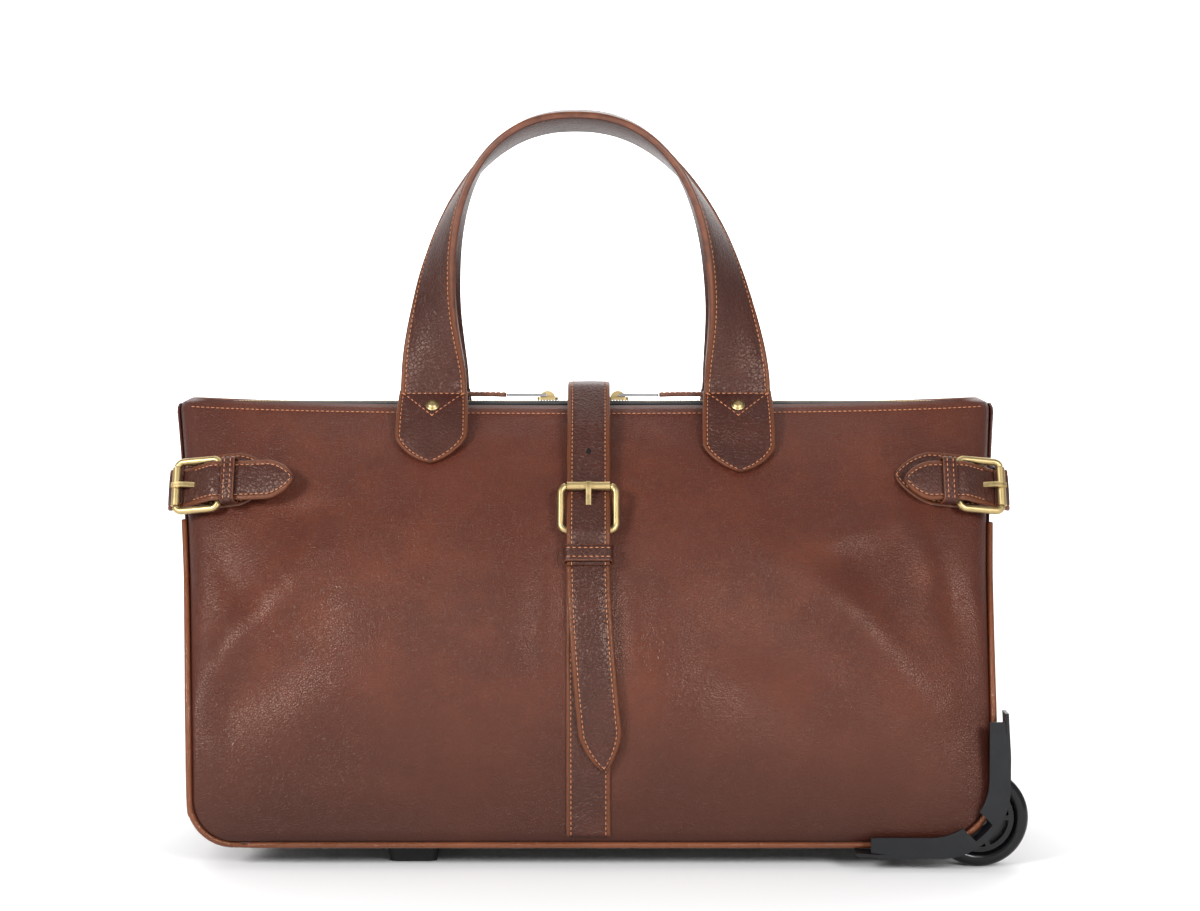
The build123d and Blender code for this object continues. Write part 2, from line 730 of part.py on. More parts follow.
for side, name in ((-1, "wheel_housing_front"), (1, "wheel_housing_back")):
    with BuildPart() as housing:
        flange_plane = Plane.XZ.offset(-side * (overall_half_depth - flange_thickness))
        with BuildSketch(flange_plane):
            corner_band(guard_inner, guard_outer, guard_left_x, guard_top_z, 0, flange_slant)
            with Locations((right_end_bottom - 14, bag_bottom + 14)):
                Rectangle(16.0, 60.0, rotation=45, mode=Mode.SUBTRACT)
        extrude(amount=-side * flange_thickness)
        with BuildSketch(Plane.XZ.offset(-side * (outer_cheek_y))):
            corner_band(
                -guard_outer + guard_wall, guard_outer, guard_left_x - 10, guard_top_z + 6, wall_slant, wall_slant
            )
        extrude(amount=-side * (overall_half_depth - outer_cheek_y))
        with BuildSketch(Plane.XZ.offset(-side * outer_cheek_y)):
            with Locations((wheel_x, wheel_z)):
                Circle(11.0)
            with BuildLine():
                Polyline(
                    (wheel_x - 36, bag_bottom + leather + 1),
                    (wheel_x - 4, bag_bottom - 6),
                    (wheel_x + 10, wheel_z + 6),
                    (right_end_bottom - 8, wheel_z + 29),
                    (wheel_x - 14, wheel_z + 29),
                    (wheel_x - 40, wheel_z + 4),
                    close=True,
                )
            make_face()
        extrude(amount=-side * cheek_thickness)
        arch_low = inner_cheek_y - cheek_thickness
        with BuildSketch(Plane.XZ.offset(-side * arch_low)):
            with Locations((wheel_x, wheel_z)):
                Circle(wheel_radius + 5.6)
                Circle(wheel_radius + 3.0, mode=Mode.SUBTRACT)
            with Locations((wheel_x + 45, wheel_z - 12)):
                Rectangle(84, 120, mode=Mode.SUBTRACT)
            with Locations((wheel_x - 20, wheel_z - 40)):
                Rectangle(80, 54, mode=Mode.SUBTRACT)
        extrude(amount=-side * (outer_cheek_y + 1.0 - arch_low))
        with BuildSketch(Plane.XZ.offset(-side * arch_low)):
            with Locations((wheel_x, wheel_z)):
                Circle(11.0)
            with BuildLine():
                Polyline(
                    (wheel_x - 37, wheel_z - 12),
                    (wheel_x - 2, wheel_z - 10),
                    (wheel_x + 6, wheel_z + 9),
                    (wheel_x + 3, wheel_z + 37),
                    (wheel_x - 14, wheel_z + 35),
                    (wheel_x - 30, wheel_z + 22),
                    close=True,
                )
            make_face()
        extrude(amount=-side * cheek_thickness)
        with BuildSketch(wheel_axis_plane(side * (overall_half_depth + 2))):
            Circle(axle_radius)
        extrude(amount=side * 70, mode=Mode.SUBTRACT)
    export(housing.part, name)

# ---------------------------------------------------------------- trolley handle
cup_mouth_x = left_end_bottom - 2.6
cup_back_x = cup_mouth_x + cup_depth
grip_x = cup_mouth_x + 5.0 + grip_depth / 2
tube_out_left = cup_back_x
tube_out_right = 238.0
inner_right = 231.0

with BuildPart() as trolley_cup:
    with BuildSketch(Plane.YZ.offset(cup_mouth_x)):
        with Locations((0, tube_z)):
            RectangleRounded(2 * cup_half_width + 10, 2 * cup_half_height + 10, 6)
    extrude(amount=1.8)
    with BuildSketch(Plane.YZ.offset(cup_mouth_x)):
        with Locations((0, tube_z)):
            RectangleRounded(2 * cup_half_width, 2 * cup_half_height, 4)
    extrude(amount=cup_depth)
    with BuildSketch(Plane.YZ.offset(cup_mouth_x)):
        with Locations((0, tube_z)):
            RectangleRounded(2 * (cup_half_width - cup_wall), 2 * (cup_half_height - cup_wall), 3)
    extrude(amount=cup_depth - cup_wall, mode=Mode.SUBTRACT)
    with BuildSketch(Plane.YZ.offset(cup_mouth_x)):
        with Locations((tube_half_spacing, tube_z), (-tube_half_spacing, tube_z)):
            Circle(inner_tube_radius + 0.4)
    extrude(amount=cup_depth + 5, mode=Mode.SUBTRACT)
export(trolley_cup.part, "trolley_cup")

with BuildPart() as trolley_outer_tubes:
    with BuildSketch(Plane.YZ.offset(tube_out_left)):
        with Locations((tube_half_spacing, tube_z), (-tube_half_spacing, tube_z)):
            Circle(outer_tube_radius)
            Circle(outer_tube_radius - tube_wall, mode=Mode.SUBTRACT)
    extrude(amount=tube_out_right - tube_out_left)
export(trolley_outer_tubes.part, "trolley_outer_tubes")

with BuildPart() as trolley_inner_tubes:
    with BuildSketch(Plane.YZ.offset(grip_x)):
        with Locations((tube_half_spacing, tube_z), (-tube_half_spacing, tube_z)):
            Circle(inner_tube_radius)
            Circle(inner_tube_radius - tube_wall, mode=Mode.SUBTRACT)
    extrude(amount=inner_right - grip_x)
export(trolley_inner_tubes.part, "trolley_inner_tubes")

button_half_width = 13.0
with BuildPart() as trolley_grip:
    with BuildSketch(Plane.XZ.offset(-grip_half_length)):
        with Locations((grip_x, tube_z)):
            RectangleRounded(grip_depth, grip_height, 6.0)
    extrude(amount=2 * grip_half_length)
    with BuildSketch(Plane.YZ.offset(grip_x)):
        with Locations((tube_half_spacing, tube_z), (-tube_half_spacing, tube_z)):
            Circle(inner_tube_radius)
    extrude(amount=grip_depth, mode=Mode.SUBTRACT)
    with BuildSketch(Plane.YZ.offset(grip_x - grip_depth)):
        with Locations((0, tube_z)):
            SlotOverall(2 * button_half_width + 0.8, 7.8)
    extrude(amount=grip_depth + 0.5, mode=Mode.SUBTRACT)
export(trolley_grip.part, "trolley_grip")

with BuildPart() as trolley_button:
    with BuildSketch(Plane.YZ.offset(grip_x - grip_depth / 2 - 1.4)):
        with Locations((0, tube_z)):
            SlotOverall(2 * button_half_width, 7.0)
    extrude(amount=grip_depth / 2 - 2.4)
export(trolley_button.part, "trolley_button")

with BuildPart() as trolley_end_block:
    with BuildSketch(Plane.YZ.offset(tube_out_right - 24)):
        with Locations((0, 42.5)):
            Rectangle(150, 42)
        with Locations((tube_half_spacing, tube_z), (-tube_half_spacing, tube_z)):
            Circle(outer_tube_radius, mode=Mode.SUBTRACT)
    extrude(amount=20)
    with BuildSketch(Plane.YZ.offset(tube_out_right - 30)):
        with Locations((0, 36)):
            Rectangle(80, 22)
    extrude(amount=40, mode=Mode.SUBTRACT)
export(trolley_end_block.part, "trolley_end_block")

# ---------------------------------------------------------------- feet
with BuildPart() as feet:
    for side in (-1, 1):
        with BuildSketch(Plane.XY):
            with Locations((foot_x, side * foot_y)):
                RectangleRounded(33.0, 22.0, 5.0)
        extrude(amount=bag_bottom, taper=-6)
    with Locations((foot_x, foot_y, 0), (foot_x, -foot_y, 0)):
        Cylinder(2.1, 2 * bag_bottom + 2, mode=Mode.SUBTRACT)
        Cone(5.2, 2.1, 3.2, align=(Align.CENTER, Align.CENTER, Align.MIN), mode=Mode.SUBTRACT)
export(feet.part, "feet")

with BuildPart() as foot_screws:
    with Locations((foot_x, foot_y, 1.0), (foot_x, -foot_y, 1.0)):
        Cylinder(2.0, 24.0, align=(Align.CENTER, Align.CENTER, Align.MIN))
    with Locations((foot_x, foot_y, 0.9), (foot_x, -foot_y, 0.9)):
        Cone(3.7, 2.0, 2.0, align=(Align.CENTER, Align.CENTER, Align.MIN))
export(foot_screws.part, "foot_screws")

# ---------------------------------------------------------------- side cinch straps
cinch_tilt = 24.0
cinch_yaw = 14.0
cinch_stand = 11.0
cinch_buckle_x = {-1: -277.0, 1: 269.5}
wrap_x = {-1: -overall_half_length + strap_thickness / 2, 1: 288.5}
tab_thickness = 2.0
tab_reach = {-1: 54.0, 1: 60.0}
cinch_tail_reach = {-1: 71.0, 1: 56.0}
cinch_keeper_offset = 9.0
keeper_lift = 3.1
panel_gap = 1.4
tab_stand = panel_gap + 2.2


def cinch_plane(end, side):
    """Plane of a cinch buckle on one face: local y runs toward the bag's end, z away from the leather."""
    x = cinch_buckle_x[end]
    tilt = math.radians(cinch_tilt)
    yaw = math.radians(cinch_yaw)
    normal = Vector(end * math.sin(yaw), side * math.cos(yaw) * math.cos(tilt), math.sin(tilt)).normalized()
    to_end = Vector(end, 0, 0)
    to_end = (to_end - normal * to_end.dot(normal)).normalized()
    origin = Vector(x, side * half_depth(x, cinch_z), cinch_z) + normal * cinch_stand
    return Plane(origin=origin, x_dir=to_end.cross(normal), z_dir=normal)


def local_ribbon(plane, points, thickness, width):
    """Ribbon whose edge-on run lies in the plane's local y and z, extruded across local x."""
    side = Plane(origin=plane.origin, x_dir=plane.y_dir, z_dir=plane.x_dir)
    with BuildSketch(side.offset(-width / 2)) as edge_on:
        ribbon_face(points, thickness)
    extrude(edge_on.sketch, amount=width)


def make_tab(plane, reach):
    """Teardrop leather patch sewn to the panel under a cinch buckle, in the buckle's own plane."""
    under = plane.offset(-cinch_stand + tab_stand)
    with BuildSketch(under) as patch:
        with BuildLine() as edge:
            start = (-15.0, -14.0)
            ThreePointArc(start, (-21.0, -reach * 0.55), (-9.0, -reach * 0.88))
            ThreePointArc((-9.0, -reach * 0.88), (0.0, -reach), (9.0, -reach * 0.88))
            ThreePointArc((9.0, -reach * 0.88), (21.0, -reach * 0.55), (15.0, -14.0))
            Line((15.0, -14.0), start)
        make_face(edge.edges())
    extrude(patch.sketch, amount=tab_thickness)


for end, word in ((-1, "left_cinch"), (1, "right_cinch")):
    front = cinch_plane(end, -1)
    rear = cinch_plane(end, 1)
    make_buckle(front, buckle_span, buckle_width - 1.5, word)

    with BuildPart() as tabs:
        make_tab(front, tab_reach[end])
        make_tab(rear, tab_reach[end])
    export(tabs.part, word + "_tabs")

    half_span = buckle_span / 2
    with BuildPart() as tail:
        reach = cinch_tail_reach[end]
        keeper_local = -half_span - cinch_keeper_offset
        run = [
            (half_span - 4.5, -4.9),
            (half_span - 10.0, -2.6),
            (-half_span + 5.0, 5.2),
            (-half_span - 2.0, 5.0),
            (keeper_local + 4.0, 3.8),
            (keeper_local - 5.0, 2.4),
            (-reach * 0.72, -1.0),
            (-reach, -2.2),
        ]
        local_ribbon(front, run, strap_thickness, strap_width)
        with BuildSketch(front.offset(-20)):
            SlotOverall(17.0, 4.8, rotation=90)
        extrude(amount=40, mode=Mode.SUBTRACT)
        with BuildSketch(front.offset(-20)):
            with BuildLine() as tip:
                Line((-40.0, -reach - 5), (40.0, -reach - 5))
                Line((40.0, -reach - 5), (40.0, -reach + 34.0))
                ThreePointArc((40.0, -reach + 34.0), (11.0, -reach + 5.5), (0.0, -reach + 0.6))
                ThreePointArc((0.0, -reach + 0.6), (-11.0, -reach + 5.5), (-40.0, -reach + 34.0))
                Line((-40.0, -reach + 34.0), (-40.0, -reach - 5))
            make_face(tip.edges())
        extrude(amount=40, mode=Mode.SUBTRACT)
    export(tail.part, word + "_tail")

    keeper_frame = Plane(
        origin=front.origin + front.y_dir * keeper_local + front.z_dir * keeper_lift, x_dir=front.x_dir, z_dir=front.z_dir
    )
    make_keeper(keeper_frame, 10.0, strap_width + keeper_slack, 6.6, word + "_keeper")

    stations = [
        (front, half_span - 3.6, -5.1),
        (front, half_span + 6.0, -5.4),
    ]
    with BuildPart() as wrap:
        sections = []
        for plane, along, height in stations:
            sections.append((plane.origin + plane.y_dir * along + plane.z_dir * height, plane.x_dir, plane.y_dir))
        for y in (-26.0, 0.0, 26.0):
            lean = Vector(end * 0.1, 0, 1).normalized()
            sections.append((Vector(wrap_x[end], y, cinch_z), lean, Vector(0, 1, 0)))
        for along in (half_span + 6.0, half_span - 6.0, 0.0, -half_span, -tab_reach[end] * 0.8):
            below = -cinch_stand + tab_stand + tab_thickness + 0.4 + strap_thickness / 2
            sections.append((rear.origin + rear.y_dir * along + rear.z_dir * below, rear.x_dir, -rear.y_dir))
        for origin, across, along in sections:
            if across.Z < 0:
                across = -across
            with BuildSketch(Plane(origin=origin, x_dir=across, z_dir=along)):
                Rectangle(strap_width, strap_thickness)
        loft(ruled=True)
    export(wrap.part, word + "_strap")

print(len(os.listdir("parts")), "nodes")
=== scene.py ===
"""Rolling leather duffle: soft leather, straps, stitching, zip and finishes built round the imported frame.

Shapes are worked out in millimetres and scaled once, when a mesh is made. +X runs to the wheel end, and -Y is
the front.
"""
import json
import math

import bpy
from bpy.props import FloatProperty, FloatVectorProperty, IntProperty, PointerProperty
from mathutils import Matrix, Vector, noise


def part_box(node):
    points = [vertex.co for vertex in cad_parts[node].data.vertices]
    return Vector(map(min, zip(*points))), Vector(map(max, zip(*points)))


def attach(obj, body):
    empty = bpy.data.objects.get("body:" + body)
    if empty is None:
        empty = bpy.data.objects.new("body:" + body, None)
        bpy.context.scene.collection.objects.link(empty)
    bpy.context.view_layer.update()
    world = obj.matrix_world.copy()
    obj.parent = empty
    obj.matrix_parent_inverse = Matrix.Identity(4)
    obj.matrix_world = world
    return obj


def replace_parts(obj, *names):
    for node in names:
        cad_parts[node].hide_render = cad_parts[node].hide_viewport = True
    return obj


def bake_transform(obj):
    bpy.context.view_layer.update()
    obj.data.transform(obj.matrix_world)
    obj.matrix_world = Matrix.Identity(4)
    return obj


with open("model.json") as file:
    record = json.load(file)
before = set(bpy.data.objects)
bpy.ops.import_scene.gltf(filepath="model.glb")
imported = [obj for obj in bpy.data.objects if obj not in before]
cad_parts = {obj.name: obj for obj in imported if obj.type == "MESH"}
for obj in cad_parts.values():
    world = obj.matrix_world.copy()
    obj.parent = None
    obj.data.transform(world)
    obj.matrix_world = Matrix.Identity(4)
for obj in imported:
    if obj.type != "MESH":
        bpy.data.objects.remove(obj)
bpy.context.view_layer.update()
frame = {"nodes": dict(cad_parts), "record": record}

bl_info = {
    "name": "Leather rolling duffle",
    "version": (1, 0, 0),
    "blender": (4, 5, 0),
    "location": "3D View > Sidebar > Duffle",
    "description": "Builds the visual pieces of a leather rolling duffle round its frame",
    "category": "Add Mesh",
}

MM = 0.001


def node_box(node):
    """A frame node's lowest and highest corners, in millimetres."""
    low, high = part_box(node)
    return low / MM, high / MM


def joint_line(name):
    """Place of one of the record's joints, in millimetres, and its axis."""
    joint = next(j for j in frame["record"]["behaviour"]["joints"] if j["name"] == name)
    return Vector(joint["pos_m"]) / MM, Vector(joint["axis"]).normalized()


# ---------------------------------------------------------------- sizes read from the frame
panel_low, panel_high = node_box("front_panel")
bag_bottom = panel_low.z
bag_top = panel_high.z
bag_middle_x = -7.0
base_half_depth = 121.0
mouth_half_depth_middle = 16.0
mouth_half_depth_end = 13.0
left_end = (-277.0, -281.5, panel_low.x - 3.5)
right_end = (276.0, 275.0, panel_high.x + 3.0)
left_corner_radius = 30.0
right_corner_radius = 45.0
closure_low, closure_high = node_box("closure_strap")
closure_x = (closure_low.x + closure_high.x) / 2
cinch_z = 257.5
cup_low, cup_high = node_box("trolley_cup")
wheel_low, wheel_high = node_box("wheel_tyre_front")
wheel_x = (wheel_low.x + wheel_high.x) / 2
wheel_radius = (wheel_high.x - wheel_low.x) / 2
wheel_y = -(wheel_low.y + wheel_high.y) / 2
strap_width = 30.0
centre_buckle_width = 43.5
cinch_buckle_width = 42.0
buckle_rod_radius = 2.6
buckle_corner_radius = 5.0
camera_place = (0.004, -2.027, 0.400)
camera_aim = (0.004, -0.127, 0.2868)


class DuffleSettings(bpy.types.PropertyGroup):
    """Sizes and colours of the duffle's visual pieces."""

    leather_colour: FloatVectorProperty(
        name="Leather", description="Main colour of the body leather", subtype="COLOR", size=3,
        default=(0.076, 0.0165, 0.0085), min=0, max=1,
    )
    leather_dark: FloatVectorProperty(
        name="Leather shade", description="Darker patches of the body leather", subtype="COLOR", size=3,
        default=(0.040, 0.0080, 0.0052), min=0, max=1,
    )
    leather_light: FloatVectorProperty(
        name="Leather glow", description="Orange patches of the body leather", subtype="COLOR", size=3,
        default=(0.128, 0.0310, 0.0125), min=0, max=1,
    )
    strap_colour: FloatVectorProperty(
        name="Strap leather", description="Colour of the straps and handles", subtype="COLOR", size=3,
        default=(0.040, 0.0100, 0.0072), min=0, max=1,
    )
    edge_colour: FloatVectorProperty(
        name="Edge paint", description="Colour of the painted strap edges", subtype="COLOR", size=3,
        default=(0.235, 0.064, 0.022), min=0, max=1,
    )
    thread_colour: FloatVectorProperty(
        name="Thread", description="Colour of the sewing thread", subtype="COLOR", size=3,
        default=(0.56, 0.22, 0.10), min=0, max=1,
    )
    brass_colour: FloatVectorProperty(
        name="Brass", description="Colour of the buckles and rivets", subtype="COLOR", size=3,
        default=(0.43, 0.325, 0.155), min=0, max=1,
    )
    stitch_pitch: FloatProperty(
        name="Stitch pitch", description="Distance from one stitch to the next", default=0.0036, min=0.002,
        max=0.01, unit="LENGTH", subtype="DISTANCE",
    )
    stitch_length: FloatProperty(
        name="Stitch length", description="Length of thread that shows at each stitch", default=0.0029,
        min=0.001, max=0.008, unit="LENGTH", subtype="DISTANCE",
    )
    stitch_width: FloatProperty(
        name="Stitch width", description="Thickness of the thread", default=0.00075, min=0.0003, max=0.002,
        unit="LENGTH", subtype="DISTANCE",
    )
    stitch_inset: FloatProperty(
        name="Stitch inset", description="Distance of a stitch row from a strap's edge", default=0.0034,
        min=0.002, max=0.008, unit="LENGTH", subtype="DISTANCE",
    )
    strap_thickness: FloatProperty(
        name="Strap thickness", description="Thickness of the straps", default=0.0032, min=0.002, max=0.006,
        unit="LENGTH", subtype="DISTANCE",
    )
    zip_pitch: FloatProperty(
        name="Tooth pitch", description="Distance from one zip tooth to the next", default=0.0021, min=0.001,
        max=0.005, unit="LENGTH", subtype="DISTANCE",
    )
    panel_columns: IntProperty(
        name="Panel columns", description="Mesh columns across a body panel", default=230, min=40, max=300,
    )
    panel_rows: IntProperty(
        name="Panel rows", description="Mesh rows up a body panel", default=130, min=20, max=200,
    )
    lens: FloatProperty(
        name="Lens", description="Focal length of the camera, in millimetres", default=83.8, min=20, max=200,
    )


def settings():
    return bpy.context.scene.duffle_settings


# ---------------------------------------------------------------- material building
class Shader:
    """A material's node tree, with short ways to add and join nodes."""

    def __init__(self, name):
        self.material = bpy.data.materials.new(name)
        self.material.use_nodes = True
        self.tree = self.material.node_tree
        self.bsdf = next(n for n in self.tree.nodes if n.type == "BSDF_PRINCIPLED")
        self.place = self.node("ShaderNodeTexCoord").outputs["Object"]

    def node(self, kind, **values):
        made = self.tree.nodes.new(kind)
        for key, value in values.items():
            setattr(made, key, value)
        return made

    def put(self, value, socket):
        if isinstance(value, bpy.types.NodeSocket):
            self.tree.links.new(value, socket)
        else:
            socket.default_value = value

    def noise(self, scale, detail=3.0, roughness=0.55, place=None, distortion=0.0):
        made = self.node("ShaderNodeTexNoise")
        self.put(place or self.place, made.inputs["Vector"])
        made.inputs["Scale"].default_value = scale
        made.inputs["Detail"].default_value = detail
        made.inputs["Roughness"].default_value = roughness
        made.inputs["Distortion"].default_value = distortion
        return made.outputs["Fac"]

    def cells(self, scale, feature="F1", place=None, output="Distance"):
        made = self.node("ShaderNodeTexVoronoi", feature=feature)
        self.put(place or self.place, made.inputs["Vector"])
        made.inputs["Scale"].default_value = scale
        return made.outputs[output]

    def ramp(self, value, low, high, out_low=0.0, out_high=1.0):
        made = self.node("ShaderNodeMapRange")
        self.put(value, made.inputs["Value"])
        for key, number in zip(("From Min", "From Max", "To Min", "To Max"), (low, high, out_low, out_high)):
            made.inputs[key].default_value = number
        return made.outputs["Result"]

    def mix(self, share, one, two, blend="MIX"):
        made = self.node("ShaderNodeMix", data_type="RGBA", blend_type=blend)
        self.put(share, made.inputs[0])
        for value, socket in ((one, made.inputs[6]), (two, made.inputs[7])):
            self.put(value if isinstance(value, bpy.types.NodeSocket) else (*value[:3], 1.0), socket)
        return made.outputs[2]

    def maths(self, operation, one, two=0.5):
        made = self.node("ShaderNodeMath", operation=operation)
        self.put(one, made.inputs[0])
        self.put(two, made.inputs[1])
        return made.outputs[0]

    def bump(self, height, strength, distance, under=None):
        made = self.node("ShaderNodeBump")
        self.put(height, made.inputs["Height"])
        made.inputs["Strength"].default_value = strength
        made.inputs["Distance"].default_value = distance
        if under is not None:
            self.put(under, made.inputs["Normal"])
        return made.outputs["Normal"]

    def axis(self, name, place=None):
        made = self.node("ShaderNodeSeparateXYZ")
        self.put(place or self.place, made.inputs[0])
        return made.outputs[name]

    def finish(self, colour=None, rough=None, normal=None, **fixed):
        if colour is not None:
            self.put(colour if isinstance(colour, bpy.types.NodeSocket) else (*colour[:3], 1.0),
                     self.bsdf.inputs["Base Color"])
        if rough is not None:
            self.put(rough, self.bsdf.inputs["Roughness"])
        if normal is not None:
            self.put(normal, self.bsdf.inputs["Normal"])
        for key, value in fixed.items():
            self.bsdf.inputs[key.replace("_", " ")].default_value = value
        return self.material


materials = {}


def shade(colour, share):
    """A colour made darker or lighter."""
    return tuple(c * share for c in colour)


def leather_material(name, dark, middle, light, grain, grain_depth, rough, painted_shade_and_end_darkening=0.0, shine=0.38):
    """Pebbled leather: mottled dye, fine pebbles with creases between them, and an uneven sheen; where asked,
    painted shade darkens it towards the bottom, and it is also darkened towards both ends.
    """
    s = Shader(name)
    patches = s.noise(7.0, 4.0, 0.6, distortion=0.6)
    clouds = s.noise(26.0, 4.0, 0.6)
    colour = s.mix(s.ramp(patches, 0.30, 0.62, 0.25, 1.0), dark, middle)
    colour = s.mix(s.ramp(clouds, 0.46, 0.80, 0.0, 0.45), colour, light)
    pebbles = s.cells(grain, "SMOOTH_F1")
    crease = s.ramp(s.cells(grain * 0.62, "DISTANCE_TO_EDGE"), 0.0, 0.09)
    flecks = s.noise(grain * 0.35, 3.0)
    colour = s.mix(s.ramp(crease, 0.0, 1.0, 0.55, 0.0), colour, dark)
    colour = s.mix(s.ramp(flecks, 0.55, 0.75, 0.0, 0.22), colour, light)
    # Painted shade: the colour is darkened towards the bottom of the body (z 20 to 130 mm), standing in for
    # the shade low on the bag; it is also darkened towards both ends (235 to 285 mm from the middle).
    if painted_shade_and_end_darkening:
        height = s.ramp(s.axis("Z"), 0.020, 0.130, painted_shade_and_end_darkening, 0.0)
        colour = s.mix(height, colour, shade(dark, 0.55))
        ends = s.ramp(s.maths("ABSOLUTE", s.axis("X")), 0.235, 0.285, 0.0, painted_shade_and_end_darkening * 0.8)
        colour = s.mix(ends, colour, dark)
    fine = s.noise(grain * 2.6, 2.0)
    slow = s.noise(36.0, 3.0, 0.5)
    normal = s.bump(slow, 0.30, 0.0011)
    normal = s.bump(pebbles, 0.55, grain_depth, normal)
    normal = s.bump(crease, 0.45, grain_depth * 0.8, normal)
    normal = s.bump(fine, 0.22, grain_depth * 0.5, normal)
    sheen = s.ramp(s.noise(14.0, 3.0), 0.35, 0.70, rough - 0.06, rough + 0.08)
    return s.finish(colour, sheen, normal, Specular_IOR_Level=shine, Specular_Tint=(1.0, 0.78, 0.66, 1.0))


def edge_material(name, colour, dark):
    """Painted and burnished cut edge of a strap."""
    s = Shader(name)
    mottle = s.noise(140.0, 4.0, 0.65)
    paint = s.mix(s.ramp(mottle, 0.35, 0.7), dark, colour)
    normal = s.bump(s.noise(900.0, 2.0), 0.3, 0.0002)
    return s.finish(paint, s.ramp(mottle, 0.3, 0.7, 0.38, 0.55), normal, Specular_IOR_Level=0.5)


def brass_material(name, colour, rough):
    """Antique metal: brushed, a little tarnished in the hollows, brighter where it is rubbed."""
    s = Shader(name)
    tarnish = s.noise(160.0, 4.0, 0.6)
    tone = s.mix(s.ramp(tarnish, 0.42, 0.72), shade(colour, 0.50), colour)
    geometry = s.node("ShaderNodeNewGeometry")
    worn = s.ramp(geometry.outputs["Pointiness"], 0.50, 0.56)
    tone = s.mix(worn, tone, tuple(min(c * 1.25, 1.0) for c in colour))
    fine = s.noise(2600.0, 2.0)
    normal = s.bump(fine, 0.10, 0.0001)
    return s.finish(tone, s.ramp(tarnish, 0.3, 0.75, rough, rough + 0.16), normal, Metallic=1.0)


def metal_material(name, colour, rough, stretch_axis=0):
    """Drawn or brushed metal with fine lines along one axis."""
    s = Shader(name)
    mapping = s.node("ShaderNodeMapping")
    s.put(s.place, mapping.inputs["Vector"])
    scale = [1400.0, 1400.0, 1400.0]
    scale[stretch_axis] = 25.0
    mapping.inputs["Scale"].default_value = scale
    lines = s.noise(1.0, 3.0, place=mapping.outputs["Vector"])
    tone = s.mix(s.ramp(lines, 0.3, 0.7), shade(colour, 0.82), colour)
    normal = s.bump(lines, 0.12, 0.0001)
    return s.finish(tone, s.ramp(lines, 0.3, 0.7, rough, rough + 0.12), normal, Metallic=1.0)


def plastic_material(name, colour, rough, grain, depth):
    """Moulded plastic or rubber with a fine texture and faint handling marks."""
    s = Shader(name)
    marks = s.noise(55.0, 5.0, 0.65)
    tone = s.mix(s.ramp(marks, 0.40, 0.75, 0.0, 0.6), colour, tuple(c * 1.6 + 0.001 for c in colour))
    texture = s.noise(grain, 3.0)
    normal = s.bump(texture, 0.35, depth)
    sheen = s.ramp(marks, 0.3, 0.7, rough - 0.05, rough + 0.10)
    return s.finish(tone, sheen, normal, Specular_IOR_Level=0.32)


def cloth_material(name, colour, weave, rough, depth):
    """Plain weave: crossing waves of thread, with the yarns' small differences in tone."""
    s = Shader(name)
    waves = []
    for direction in ("X", "Y", "Z"):
        band = s.node("ShaderNodeTexWave", wave_type="BANDS", bands_direction=direction)
        s.put(s.place, band.inputs["Vector"])
        band.inputs["Scale"].default_value = weave
        band.inputs["Distortion"].default_value = 0.35
        waves.append(band.outputs["Fac"])
    threads = s.maths("MULTIPLY", s.maths("ADD", waves[0], waves[2]), waves[1])
    tone = s.mix(s.ramp(threads, 0.1, 1.4), shade(colour, 0.45), colour)
    tone = s.mix(s.ramp(s.noise(60.0, 4.0), 0.4, 0.7, 0.0, 0.35), tone, shade(colour, 1.6))
    normal = s.bump(threads, 0.5, depth)
    return s.finish(tone, rough, normal, Specular_IOR_Level=0.3, Sheen_Weight=0.12, Sheen_Roughness=0.5)


def thread_material(name, colour):
    """Waxed thread with the twist of its strands."""
    s = Shader(name)
    twist = s.noise(1800.0, 2.0)
    tone = s.mix(s.ramp(twist, 0.35, 0.7), shade(colour, 0.62), colour)
    tone = s.mix(s.ramp(s.noise(45.0, 3.0), 0.45, 0.75, 0.0, 0.4), tone, shade(colour, 0.55))
    return s.finish(tone, 0.6, s.bump(twist, 0.4, 0.0002), Specular_IOR_Level=0.35)


# ---------------------------------------------------------------- mesh building
def make_mesh(name, verts, faces, mats, face_mats=None, uvs=None, smooth=True):
    """Object from millimetre vertices, scaled to metres, with materials per face and a UV per vertex."""
    mesh = bpy.data.meshes.new(name)
    mesh.from_pydata([tuple(Vector(v) * MM) for v in verts], [], faces)
    for mat in mats:
        mesh.materials.append(mat)
    if face_mats is not None:
        mesh.polygons.foreach_set("material_index", face_mats)
    if uvs is not None:
        layer = mesh.uv_layers.new(name="UVMap")
        for loop in mesh.loops:
            layer.data[loop.index].uv = uvs[loop.vertex_index]
    if smooth:
        mesh.polygons.foreach_set("use_smooth", [True] * len(mesh.polygons))
    mesh.validate()
    mesh.update()
    made = bpy.data.objects.new(name, mesh)
    bpy.context.scene.collection.objects.link(made)
    return made


def smooth_run(points, per_span=10):
    """Catmull-Rom points through a list of vectors."""
    out = []
    ghosts = [points[0] * 2 - points[1], *points, points[-1] * 2 - points[-2]]
    for i in range(1, len(ghosts) - 2):
        p0, p1, p2, p3 = ghosts[i - 1:i + 3]
        for k in range(per_span):
            t = k / per_span
            out.append(0.5 * (2 * p1 + (p2 - p0) * t + (2 * p0 - 5 * p1 + 4 * p2 - p3) * t * t
                              + (3 * p1 - p0 - 3 * p2 + p3) * t ** 3))
    out.append(points[-1].copy())
    return out


